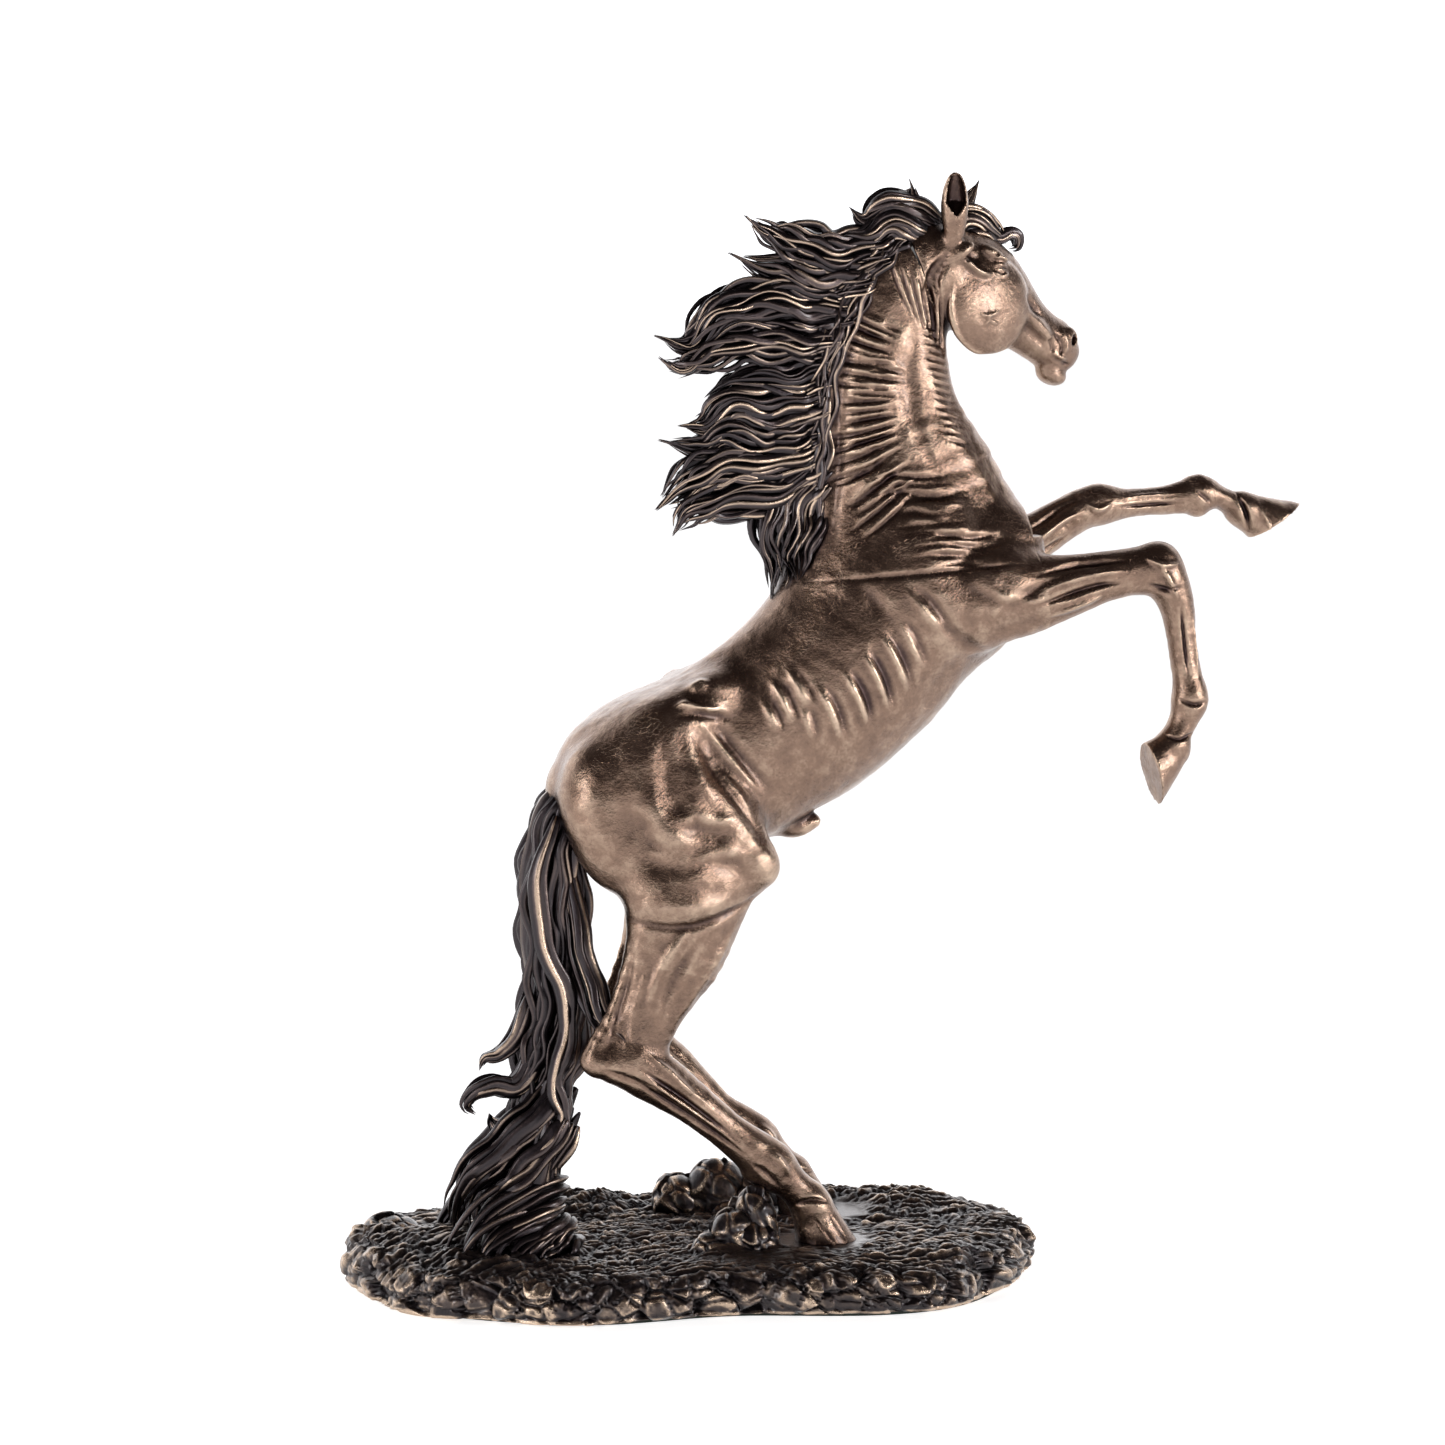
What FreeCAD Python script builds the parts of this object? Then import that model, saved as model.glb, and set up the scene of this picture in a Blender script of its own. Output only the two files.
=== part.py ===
"""Rearing stallion statuette in patinated bronze, 330 mm tall.

The horse is a lost-wax bronze cast in sections. The trunk and the neck are hollow shells that meet in
a flanged joint across the shoulders. The head, the lower legs, the tail and the locks of the mane are
separate castings, held by spigots, cross pins and dowels. Threaded studs in both hind hooves and in
the foot of the tail pass through the hollow ground casting and are held by washers and nuts below it.
A felt pad closes the underside.

Frame: origin on the underside of the felt pad at the middle of the base, +X the way the horse faces,
+Y its left, +Z up. The sagittal plane of the horse is the XZ plane. Units are millimetres.
"""
import FreeCAD, Part  # noqa: E401
import math
import os

V = FreeCAD.Vector

# ---- driving dimensions -------------------------------------------------------------------------
WALL = 3.5                # wall of the hollow trunk and neck
RING_WALL = 2.2           # wall of the neck's joint ring
RING_BITE = 0.9           # how far the ring is let into the wall of the trunk
RING_DEPTH = 5.0          # how far the ring reaches down into the trunk
GROUND_TOP = 13.0         # height of the ground that the hooves stand on
FELT_THICK = 1.0          # felt pad under the base
BASE_WALL = 4.5           # side wall and roof of the hollow ground casting
SPIGOT_R = 4.0            # spigots of the legs and the head
SPIGOT_LEN = 9.0
PIN_R = 1.1               # cross pins through the spigots
DOWEL_R = 1.2             # dowels of the mane and forelock
STUD_R = 2.0              # M4 studs in the hooves and the tail
STUD_IN_HOOF = 7.0        # length of stud inside a hoof
NUT_AF, NUT_H = 7.0, 3.2  # M4 nut
WASHER_R, WASHER_H = 4.5, 0.8
SECTION_POINTS = 12       # points round each loft section
NEAR_Y, FAR_Y = -20.0, 16.0   # side positions of the two hind legs

# Base outline seen from above, left end first, going round by the near side.
BASE_OUTLINE = [(-103, 8), (-93, -24), (-72, -42), (-40, -55), (-5, -55), (34, -64), (64, -62),
                (90, -38), (105, -4), (96, 30), (66, 50), (28, 57), (-14, 56), (-52, 58), (-84, 42)]

# Stations of each loft: centre x, y, z, then half depth in the sagittal plane and half width.
TRUNK = [(-40, 0, 147, 9, 8), (-29, 0, 145, 23, 17), (-5, 0, 153, 27, 21.5), (16, 0, 163.5, 27.5, 20.5),
         (34, 0, 176, 29.5, 23), (51, 0, 190, 31.5, 23.5), (65, 0, 204, 31, 21.5), (81, 0, 214, 24, 18.5),
         (95, 0, 222, 13, 12)]
NECK = [(66, 0, 196, 38, 20), (67, 0, 214, 38.5, 20), (64.5, 0, 234, 32.5, 17), (58.5, 0, 256, 24, 14),
        (57, 0, 276, 21, 12), (60, 0, 290, 18, 11), (67, 0, 300, 15, 10), (77, 0.6, 304, 12, 9)]
HEAD = [(68, 0, 302, 12, 7.5), (76, 1, 301, 14, 9), (84, 3.4, 297, 16.2, 9.6), (91, 5.7, 293, 16.5, 9.8),
        (98.5, 8.2, 289.3, 14, 9), (105.5, 10.5, 286, 11.2, 7.6), (112, 12.7, 282.8, 9.6, 6.8),
        (118.5, 14.9, 279.6, 9.4, 6.8), (124, 16.8, 277.4, 7.5, 5.8), (127.5, 18, 276.4, 3.6, 3.2)]
NEAR_EAR = [(80, -5, 306, 3.2, 2.6), (78.8, -8, 315, 4.3, 2.6), (77.6, -10, 323, 3.4, 2), (76.8, -11.4, 329.4, 0.9, 0.8)]
FAR_EAR = [(76, 5, 304, 3.2, 2.6), (73.5, 7.5, 312, 4.3, 2.6), (70.5, 9, 319.5, 3.2, 2), (68, 10, 325.6, 0.9, 0.8)]
THIGH = [(-8, -9, 166, 14, 8), (-11, -12, 152, 24, 11), (-11, -14.5, 138, 30, 12.5), (-8, -16.5, 125, 27.5, 12),
         (-8, -18.5, 113, 20, 10), (-10, -20, 104, 17.3, 8.5)]
GASKIN = [(-10, -20, 104, 17.3, 8.5), (-13, -20, 94, 14.6, 7.4), (-17.5, -20, 85, 11, 5.9), (-22, -20, 77, 9.6, 5),
          (-25, -20, 70.5, 7, 3.6)]
HIND_CANNON = [(-37, -20, 70.4, 4.6, 4.4), (-25, -20, 67.5, 8.8, 6.6), (-11, -20, 59, 7.6, 5.6), (0, -20, 51, 6.6, 5.2),
               (9.5, -20, 44, 6.8, 5.4), (17, -20, 38, 7.6, 6.4), (23, -20, 32.5, 6, 5.4), (27.8, -20, 27.5, 5.6, 5.6),
               (31, -20, 22.5, 5.8, 5.8), (33.5, -20, 17.5, 4.8, 4.8)]
NEAR_ARM = [(68, -8, 214, 19, 9), (82, -12.5, 205, 18, 9.5), (93, -16, 204.5, 15, 9), (103, -17.4, 206, 12, 8.2)]
NEAR_FOREARM = [(103, -17.4, 206, 12, 8.2), (112, -18.3, 207.5, 9.4, 7.2), (122, -19, 209.6, 7.8, 6.4),
                (131, -19.6, 211, 7.4, 5.9), (139, -20, 210.5, 6.6, 5), (144, -20, 208.5, 4, 3.2)]
NEAR_CANNON = [(139.6, -20, 217.5, 4.6, 4.4), (142, -20, 209.5, 7.8, 6.8), (144.6, -20, 201, 6, 5.6), (146.4, -20, 192, 4.8, 4.5),
               (148, -20, 179, 5, 4.6), (149.7, -20, 171.5, 6.3, 5.6), (148.8, -19.7, 165.5, 5, 4.8),
               (146, -19.3, 160, 5.6, 5.6), (143.4, -19.1, 155.6, 4.6, 4.6)]
FAR_ARM = [(76, 7, 212, 16, 8), (88, 11, 210, 14, 8), (97, 13, 212.5, 11.5, 7.8), (105, 14.5, 215.5, 9.6, 7.2)]
FAR_FOREARM = [(105, 14.5, 215.5, 9.6, 7.2), (113, 15.6, 219.5, 8, 6.6), (121, 16.3, 224, 7.1, 6.2),
               (128, 16.8, 227.4, 6.8, 6.2), (135, 17.2, 228.6, 6.4, 5.8), (142, 17.5, 229, 4.9, 4.7), (151, 18, 229.8, 4.6, 4.3),
               (160, 18, 230.8, 5.2, 4.6), (167, 18, 231.7, 6.4, 5.6), (173, 18, 230.4, 4.9, 4.8), (179, 18, 228, 5.2, 5.2),
               (185, 18, 225.4, 4.6, 4.6)]
TAIL = [(-36, 0, 152, 6, 6), (-46, 0, 144, 8, 7), (-51, 0, 130, 10, 8.5), (-51, 0, 114, 11.5, 9.5), (-47.5, 0, 96, 12, 10),
        (-46, 0, 78, 12.5, 10), (-48, 0, 60, 12, 10), (-53, 0, 42, 13, 12), (-57, 0, 25, 16, 15), (-58, 0, GROUND_TOP, 19, 18)]
SHEATH = [(24, 0, 144, 8, 7), (30, 0, 138.5, 6, 5.5), (36.5, 0, 136, 4, 4)]

MANE = {
    "mane_poll_locks": [(74, 1, 311, 5, 4), (62, 0, 315, 6, 5), (53, 0, 317, 4.5, 4), (48, 0, 320, 1.4, 1.4)],
    "mane_upper_locks": [(56, 0, 298, 9, 6), (44, -1, 304, 10, 6), (31, -2, 309, 9, 5.5), (20, -2, 309, 7, 4.5),
                         (11, -2, 308, 2.5, 2)],
    "mane_middle_locks": [(48, 0, 281, 11, 6), (34, -2, 287, 11, 6), (20, -3, 287, 10, 5.5), (7, -3, 281, 7, 4.5),
                          (-4, -3, 277, 5, 3.5), (-12, -3, 281, 1.8, 1.5)],
    "mane_lower_locks": [(42, 0, 262, 11, 6), (28, -2, 264, 11, 6), (16, -3, 262, 10, 5), (5, -3, 256, 7, 4),
                         (-9, -3, 251, 2, 1.5)],
    "mane_bottom_locks": [(42, 0, 244, 8, 6), (28, -2, 243, 8, 6), (14, -3, 238, 8.5, 5), (0, -3, 233, 8, 4.5),
                          (-11, -3, 230, 2.5, 2)],
    "mane_withers_locks": [(40, 0, 232, 6, 5), (30, -1, 222, 6, 4.5), (26, -1, 212, 4.5, 3.4), (22, -1, 203, 1.4, 1.2)],
}
FORELOCK = [(80, 2, 308, 4.5, 4.2), (87, 4.5, 310.5, 4.6, 4), (94, 7.5, 310.5, 3, 2.6), (100.5, 9.6, 309, 1, 1)]

# Hooves: centre of the coronet, its outward direction, centre of the sole, the sole's outward
# direction, then the half length and half width of the sole. The coronet is this share of the sole.
CORONET_SHARE = 0.78
HIND_HOOF = ((31, -20, 23.5), (0.35, 0, -1), (34.8, -20, GROUND_TOP), (0, 0, -1), 8.6, 7.8)
NEAR_FORE_HOOF = ((145, -19.2, 159.6), (-0.55, 0, -0.83), (138.2, -19, 151), (-0.97, 0, -0.24), 8.6, 7.6)
FAR_FORE_HOOF = ((182.8, 18, 226.4), (0.8, 0, -0.6), (192.4, 18, 222.6), (0.555, 0, -0.83), 8.5, 7.6)

# Rough stones on the ground: centre x, y, z and radii.
STONES = [(6, -31, GROUND_TOP - 0.5, 11, 8, 8), (16, 43, GROUND_TOP - 0.7, 17, 9, 6), (-74, 34, GROUND_TOP - 0.6, 16, 12, 4)]


# ---- geometry helpers ---------------------------------------------------------------------------
def frame_at(direction):
    """Two unit vectors across a direction: one in the sagittal sense and one sideways."""
    t = V(direction).normalize()
    side = V(0, 1, 0) - t * t.y
    side.normalize()
    return side.cross(t), side


def section(centre, direction, depth, width, seam=0.0):
    """A closed smooth oval across a direction. The seam angle says where its curve starts."""
    up, side = frame_at(direction)
    points = []
    for k in range(SECTION_POINTS):
        a = seam + 2 * math.pi * k / SECTION_POINTS
        points.append(V(centre) + up * (depth * math.cos(a)) + side * (width * math.sin(a)))
    curve = Part.BSplineCurve()
    curve.interpolate(Points=points, PeriodicFlag=True)
    return Part.Wire(curve.toShape())


def limb(stations, shrink=0.0, seam=0.3):
    """A smooth solid through oval stations, each across the line of its neighbours."""
    wires = []
    last = len(stations) - 1
    for k, (x, y, z, depth, width) in enumerate(stations):
        before, after = stations[max(k - 1, 0)], stations[min(k + 1, last)]
        direction = V(*after[:3]) - V(*before[:3])
        wires.append(section(V(x, y, z), direction, depth - shrink, width - shrink, seam))
    return Part.makeLoft(wires, True, False, False, 3)


def hoof(coronet, coronet_out, sole, sole_out, half_length, half_width):
    """A hoof flaring from its coronet to a flat sole."""
    top = section(V(*coronet), V(*coronet_out), half_length * CORONET_SHARE, half_width * CORONET_SHARE, 1.2)
    bottom = section(V(*sole), V(*sole_out), half_length, half_width, 1.2)
    return Part.makeLoft([top, bottom], True, True)


def rod(start, end, radius):
    """A round bar between two points."""
    a, b = V(*start), V(*end)
    return Part.makeCylinder(radius, (b - a).Length, a, b - a)


def half_space(point, normal):
    """A large block on the far side of a plane, along its normal."""
    size = 800.0
    block = Part.makeBox(size, size, size, V(-size / 2, -size / 2, 0))
    turn = FreeCAD.Rotation(V(0, 0, 1), V(*normal))
    block.Placement = FreeCAD.Placement(V(*point), turn)
    return block


def stone(x, y, z, a, b, c):
    """A boulder: a sphere scaled to three radii."""
    ball = Part.makeSphere(1.0)
    matrix = FreeCAD.Matrix(a, 0, 0, x, 0, b, 0, y, 0, 0, c, z)
    return ball.transformGeometry(matrix)


def outline_face(points, inset, z):
    """The base outline as a flat face, drawn in by inset towards its middle."""
    moved = []
    for x, y in points:
        r = math.hypot(x, y)
        moved.append(V(x * (r - inset) / r, y * (r - inset) / r, z))
    curve = Part.BSplineCurve()
    curve.interpolate(Points=moved, PeriodicFlag=True)
    return Part.Face(Part.Wire(curve.toShape()))


def mirrored(stations, y_scale, reach=0.0):
    """The far leg: mirrored to the other side, each station further forward by its share of reach."""
    last = len(stations) - 1
    return [(x + reach * min(1.0, 1.5 * k / last), -y * y_scale, z, d, w)
            for k, (x, y, z, d, w) in enumerate(stations)]


def main_solid(shape):
    """The largest solid of a boolean's result."""
    return max(shape.Solids, key=lambda s: s.Volume)


def join(first, *others):
    """One solid from shapes that overlap."""
    result = first
    for other in others:
        result = main_solid(result.fuse(other))
    return result


# ---- the horse ----------------------------------------------------------------------------------
FAR_SIDE = FAR_Y / -NEAR_Y
FAR_REACH = 10.0                   # the far hind foot stands this much further forward
SEAM = ((26, 0, 209), (-0.08, 0, 1))     # plane of the joint between trunk and neck
HEAD_CUT = ((71, 0, 297), (0.94, 0, 0.33))


def cut_plane(stations):
    """The plane across the first station of a leg, with its normal down the leg."""
    a, b = V(*stations[0][:3]), V(*stations[1][:3])
    return a, (b - a).normalize()


def spigot_and_pin(stations):
    """A spigot that reaches back from a leg's cut plane, and the cross pin that holds it."""
    point, along = cut_plane(stations)
    spigot = rod(point + along * 2, point - along * SPIGOT_LEN, SPIGOT_R)
    middle = point - along * (SPIGOT_LEN / 2)
    pin = rod(middle - V(0, 30, 0), middle + V(0, 30, 0), PIN_R)
    return spigot, pin


def hind_leg_parts(y_scale, reach):
    """Thigh solid, lower-leg solid and hoof centre of one hind leg. y_scale is 1 on the near side."""
    sign = -1.0 if y_scale != 1.0 else 1.0
    if sign > 0:
        thigh, gaskin, cannon = THIGH, GASKIN, HIND_CANNON
        hoof_x, hoof_y = 0.0, NEAR_Y
    else:
        thigh = mirrored(THIGH, 1.0)
        thigh[-1] = (thigh[-1][0], 18, *thigh[-1][2:])
        gaskin = mirrored(GASKIN, 0.9, reach * 0.5)
        cannon = [(x + reach * (0.5 + 0.5 * min(1.0, k / 4)), FAR_Y + max(0, 2 - k), z, d, w)
                  for k, (x, _, z, d, w) in enumerate(HIND_CANNON)]
        hoof_x, hoof_y = reach, FAR_Y
    coronet, c_out, sole, s_out, half_length, half_width = HIND_HOOF
    coronet = (coronet[0] + hoof_x, hoof_y, coronet[2])
    sole = (sole[0] + hoof_x, hoof_y, sole[2])
    foot = hoof(coronet, c_out, sole, s_out, half_length, half_width)
    gaskin_seam, cannon_seam = (0.7, 0.35) if sign > 0 else (1.3, 1.7)
    lower = join(limb(gaskin, 0, gaskin_seam), limb(cannon, 0, cannon_seam), foot)
    return limb(thigh), gaskin, lower, sole


def build():
    parts = {}

    near_thigh, near_gaskin, near_hind, near_sole = hind_leg_parts(1.0, 0.0)
    far_thigh, far_gaskin, far_hind, far_sole = hind_leg_parts(FAR_SIDE, FAR_REACH)
    trunk_skin, neck_skin = limb(TRUNK), limb(NECK, 0, 0.8)
    arms = limb(NEAR_ARM, 0, 1.1), limb(FAR_ARM, 0, 1.1)
    skin = join(trunk_skin, neck_skin, near_thigh, far_thigh, *arms, limb(SHEATH, 0, 0.6))
    core = join(limb(TRUNK[1:-1], WALL), limb(NECK[:-1], WALL, 0.8))

    # The head casting and its spigot.
    head_side = half_space(*HEAD_CUT).common(Part.makeBox(120, 80, 80, V(30, -40, 270)))
    poll = main_solid(neck_skin.common(head_side))
    jaw = main_solid(limb(HEAD).common(head_side))
    head = join(poll, jaw, limb(NEAR_EAR, 0, 0.9), limb(FAR_EAR, 0, 0.9))
    skin = main_solid(skin.cut(head_side))
    core = main_solid(core.cut(half_space(V(68.5, 0, 296), HEAD_CUT[1])))
    head_axis = V(*HEAD_CUT[1]).normalize()
    head_point = V(*HEAD_CUT[0])
    head_spigot = rod(head_point + head_axis * 2, head_point - head_axis * SPIGOT_LEN, SPIGOT_R)
    pin_middle = head_point - head_axis * (SPIGOT_LEN / 2)
    head_pin = rod(pin_middle - V(0, 30, 0), pin_middle + V(0, 30, 0), PIN_R).common(skin)
    head = join(head, head_spigot)
    parts["head_casting"] = main_solid(head.cut(head_pin))
    parts["head_pin"] = head_pin

    # Legs: everything past the cut plane is the leg's own casting.
    near_fore = join(limb(NEAR_FOREARM, 0, 0.7), limb(NEAR_CANNON, 0, 0.35), hoof(*NEAR_FORE_HOOF))
    far_fore = join(limb(FAR_FOREARM, 0, 0.7), hoof(*FAR_FORE_HOOF))
    legs = {
        "near_foreleg_casting": (NEAR_FOREARM, near_fore),
        "far_foreleg_casting": (FAR_FOREARM, far_fore),
        "near_hind_leg_casting": (near_gaskin, near_hind),
        "far_hind_leg_casting": (far_gaskin, far_hind),
    }
    sockets = [head_spigot]
    pins = []
    for name, (stations, leg) in legs.items():
        spigot, pin = spigot_and_pin(stations)
        leg = leg.cut(skin)
        leg = join(main_solid(leg), spigot)
        pin = min(pin.common(skin).Solids, key=lambda s: abs(s.CenterOfMass.y - stations[0][1]))
        parts[name] = main_solid(leg.cut(pin))
        parts[name.replace("_casting", "_pin")] = pin
        sockets.append(spigot)
        pins.append(pin)

    # The tail hangs from a spigot in the dock and stands on the ground.
    tail = main_solid(limb(TAIL).cut(skin))
    tail_start, tail_end = (-28, 0, 153), (-40, 0, 149)
    tail_spigot = rod(tail_start, tail_end, SPIGOT_R)
    tail_pin = rod((-32, -30, 151.7), (-32, 30, 151.7), PIN_R).common(skin)
    tail = join(tail, tail_spigot)
    sockets.append(tail_spigot)
    pins.append(tail_pin)
    parts["tail_pin"] = tail_pin

    # The neck lifts off the trunk at the shoulder seam; its ring stands down inside the trunk.
    above = half_space(*SEAM)
    seam_up = V(*SEAM[1]).normalize()
    ring_band = half_space(V(*SEAM[0]) - seam_up * RING_DEPTH, SEAM[1]).cut(
        half_space(V(*SEAM[0]) + seam_up * RING_DEPTH, SEAM[1]))
    ring_outside = limb(TRUNK[1:-1], WALL - RING_BITE).fuse(limb(NECK[:-1], WALL - RING_BITE))
    ring_inside = limb(TRUNK[1:-1], WALL + RING_WALL).fuse(limb(NECK[:-1], WALL + RING_WALL))
    ring = ring_outside.cut(ring_inside).common(ring_band)
    neck = skin.common(above).cut(core).fuse(ring)
    neck = main_solid(neck)
    trunk = skin.cut(above).cut(core).cut(ring)
    for socket in sockets:
        trunk = trunk.cut(socket)
        neck = neck.cut(socket)
    for pin in pins:
        trunk = trunk.cut(pin)
    neck = main_solid(neck.cut(head_pin))
    trunk = main_solid(trunk)

    # Four rivets hold the ring, one on each side, one at the chest and one at the withers.
    rivet_z = SEAM[0][2] - RING_DEPTH / 2
    rivet_rods = [rod((58, 0, rivet_z), (58, s * 40, rivet_z), PIN_R) for s in (-1, 1)]
    rivet_rods.append(rod((30, 0, rivet_z - 2), (10, 0, rivet_z - 2), PIN_R))
    rivet_rods.append(rod((80, 0, rivet_z + 3), (125, 0, rivet_z + 3), PIN_R))
    wall_only = skin.cut(ring_inside)
    rivets = [max(r.common(wall_only).Solids, key=lambda s: s.Volume) for r in rivet_rods]
    for rivet in rivets:
        trunk = trunk.cut(rivet)
        neck = neck.cut(rivet)
    parts["neck_joint_rivets"] = Part.makeCompound(rivets)
    trunk = main_solid(trunk)

    # The locks of the mane are brazed along the crest, each on one dowel.
    taken = skin.fuse(head)
    dowels = []
    for name, stations in MANE.items():
        lock = main_solid(limb(stations).cut(taken))
        root, nxt = V(*stations[0][:3]), V(*stations[1][:3])
        along = (nxt - root).normalize()
        inside = lock.common(rod(root, root + along * 60, 0.2))
        entry = root + along * (inside.BoundBox.Center - root).dot(along)
        start = main_solid(rod(root, entry, DOWEL_R).fuse(rod(entry, entry + along * 4, DOWEL_R)))
        dowel = start.common(neck.fuse(lock).fuse(rod(entry - along * 6, entry + along * 2, DOWEL_R)))
        dowel = main_solid(dowel.cut(core))
        lock = main_solid(lock.cut(dowel))
        neck = main_solid(neck.cut(dowel))
        dowels.append(dowel)
        parts[name] = lock
        taken = taken.fuse(limb(stations))
    forelock = main_solid(limb(FORELOCK).cut(taken))
    parts["forelock_casting"] = forelock
    parts["mane_dowels"] = Part.makeCompound(dowels)
    parts["neck_casting"] = neck
    parts["trunk_casting"] = trunk

    # Ground casting: hollow below, with a boss and a clearance hole for each stud.
    floor = FELT_THICK
    lower = outline_face(BASE_OUTLINE, 0.0, floor).extrude(V(0, 0, 8.0))
    upper = outline_face(BASE_OUTLINE, 3.0, floor + 4).extrude(V(0, 0, GROUND_TOP - floor - 4))
    above_hollow = half_space((0, 0, GROUND_TOP - 3), (0, 0, 1))
    ground = join(lower, upper, *[stone(*s).common(above_hollow) for s in STONES])
    hollow = outline_face(BASE_OUTLINE, 2.0 + BASE_WALL, floor - 1).extrude(V(0, 0, GROUND_TOP - floor - BASE_WALL + 1))
    ground = main_solid(ground.cut(hollow))
    tail_foot = (TAIL[-1][0], TAIL[-1][1], GROUND_TOP)
    feet = {"near_hoof_stud": near_sole, "far_hoof_stud": far_sole, "tail_stud": tail_foot}
    roof = GROUND_TOP - BASE_WALL
    washers, nuts = [], []
    for name, (x, y, _) in feet.items():
        stud = rod((x, y, roof - WASHER_H - NUT_H - 1.2), (x, y, GROUND_TOP + STUD_IN_HOOF), STUD_R)
        ground = ground.cut(stud)
        washer = rod((x, y, roof - WASHER_H), (x, y, roof), WASHER_R).cut(stud)
        corner_r = NUT_AF / math.sqrt(3)
        corners = [V(x + corner_r * math.cos(k * math.pi / 3), y + corner_r * math.sin(k * math.pi / 3),
                     roof - WASHER_H - NUT_H) for k in range(7)]
        nut = Part.Face(Part.makePolygon(corners)).extrude(V(0, 0, NUT_H)).cut(stud)
        washers.append(washer)
        nuts.append(nut)
        parts[name] = stud
    parts["near_hind_leg_casting"] = parts["near_hind_leg_casting"].cut(parts["near_hoof_stud"])
    parts["far_hind_leg_casting"] = parts["far_hind_leg_casting"].cut(parts["far_hoof_stud"])
    tail = main_solid(tail.cut(parts["tail_stud"]).cut(tail_pin).cut(ground))
    for leg in ("near_hind_leg_casting", "far_hind_leg_casting"):
        ground = ground.cut(parts[leg])
        tail = main_solid(tail.cut(parts[leg]))
    parts["tail_casting"] = tail
    parts["ground_casting"] = main_solid(ground)
    parts["stud_washers"] = Part.makeCompound(washers)
    parts["stud_nuts"] = Part.makeCompound(nuts)
    parts["felt_pad"] = outline_face(BASE_OUTLINE, 3.0, 0).extrude(V(0, 0, FELT_THICK))
    return parts


def main():
    os.makedirs("parts", exist_ok=True)
    for old in os.listdir("parts"):
        os.remove(os.path.join("parts", old))
    for name, shape in build().items():
        solids = len(shape.Solids)
        print(f"{name:26s} solids {solids} valid {shape.isValid()} volume {shape.Volume / 1000:.2f} cm3")
        shape.exportStep(f"parts/{name}.step")


main()
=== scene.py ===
"""Looks of the rearing stallion statuette: the horse is sculpted as a distance field and meshed, its hair
and the grass are swept strands, and the ground is a chiselled slab. Lengths of horse, hair and ground are
millimetres; those in the materials and the studio are metres."""
import math

import bpy
import numpy as np
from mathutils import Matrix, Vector


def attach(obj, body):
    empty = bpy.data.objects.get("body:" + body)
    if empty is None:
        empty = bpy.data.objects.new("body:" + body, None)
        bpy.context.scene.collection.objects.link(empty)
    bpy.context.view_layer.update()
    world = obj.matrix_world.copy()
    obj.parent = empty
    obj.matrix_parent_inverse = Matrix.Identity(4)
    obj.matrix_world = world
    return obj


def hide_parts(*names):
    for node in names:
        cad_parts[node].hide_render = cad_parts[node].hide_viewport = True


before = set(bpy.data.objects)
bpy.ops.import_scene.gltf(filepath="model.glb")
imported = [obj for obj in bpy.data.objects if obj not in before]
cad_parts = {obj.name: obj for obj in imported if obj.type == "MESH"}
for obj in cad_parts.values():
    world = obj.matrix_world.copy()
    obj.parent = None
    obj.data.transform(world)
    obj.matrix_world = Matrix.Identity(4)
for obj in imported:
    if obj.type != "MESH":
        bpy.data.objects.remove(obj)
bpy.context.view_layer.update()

COARSE = 1.0
MM = 0.001
rng = np.random.default_rng(7)
GROUND = 13.0      # height of the ground that the hooves stand on
FELT_TOP = 1.0     # height of the underside of the ground


# ---------------------------------------------------------------- curves
def smooth_path(points, per_span):
    """Catmull-Rom points through rows of numbers, per_span to each span, ends included."""
    p = np.asarray(points, float)
    p = np.vstack([2 * p[0] - p[1], p, 2 * p[-1] - p[-2]])
    out = []
    for i in range(1, len(p) - 2):
        a, b, c, d = p[i - 1:i + 3]
        t = np.linspace(0, 1, per_span, endpoint=False)[:, None]
        out.append(0.5 * (2 * b + (c - a) * t + (2 * a - 5 * b + 4 * c - d) * t ** 2
                          + (3 * b - a - 3 * c + d) * t ** 3))
    out.append(p[-2:-1])
    return np.vstack(out)


def ease(t):
    """A smooth step for t from 0 to 1."""
    return t * t * (3 - 2 * t)


def near(distance, width):
    """1 at no distance, fading out over the width."""
    return np.exp(-(distance / width) ** 2)


def unit(v):
    v = np.asarray(v, float)
    return v / np.maximum(np.linalg.norm(v, axis=-1, keepdims=True), 1e-9)


# ---------------------------------------------------------------- distance field
class Field:
    """A signed distance field on a regular grid."""

    def __init__(self, low, high, step):
        self.step = step
        self.low = np.array(low, float)
        count = np.ceil((np.array(high) - self.low) / step).astype(int) + 1
        self.d = np.full(count, 9.0, np.float32)

    def window(self, low, high):
        a = np.clip(np.floor((np.asarray(low) - self.low) / self.step).astype(int), 0, np.array(self.d.shape))
        b = np.clip(np.ceil((np.asarray(high) - self.low) / self.step).astype(int) + 1, 0, np.array(self.d.shape))
        if np.any(b - a < 1):
            return None, None
        grid = [(self.low[i] + self.step * np.arange(a[i], b[i])).astype(np.float32) for i in range(3)]
        where = tuple(slice(a[i], b[i]) for i in range(3))
        return where, (grid[0][:, None, None], grid[1][None, :, None], grid[2][None, None, :])

    def blend(self, where, d, k):
        """Joins d in with a fillet of about k, or carves it away if k is negative."""
        a = self.d[where]
        if k < 0:
            h = np.maximum(-k - np.abs(a + d), 0) / -k
            self.d[where] = np.maximum(a, -d) + h * h * -k * 0.25
        else:
            h = np.maximum(k - np.abs(a - d), 0) / k
            self.d[where] = np.minimum(a, d) - h * h * k * 0.25


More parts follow.
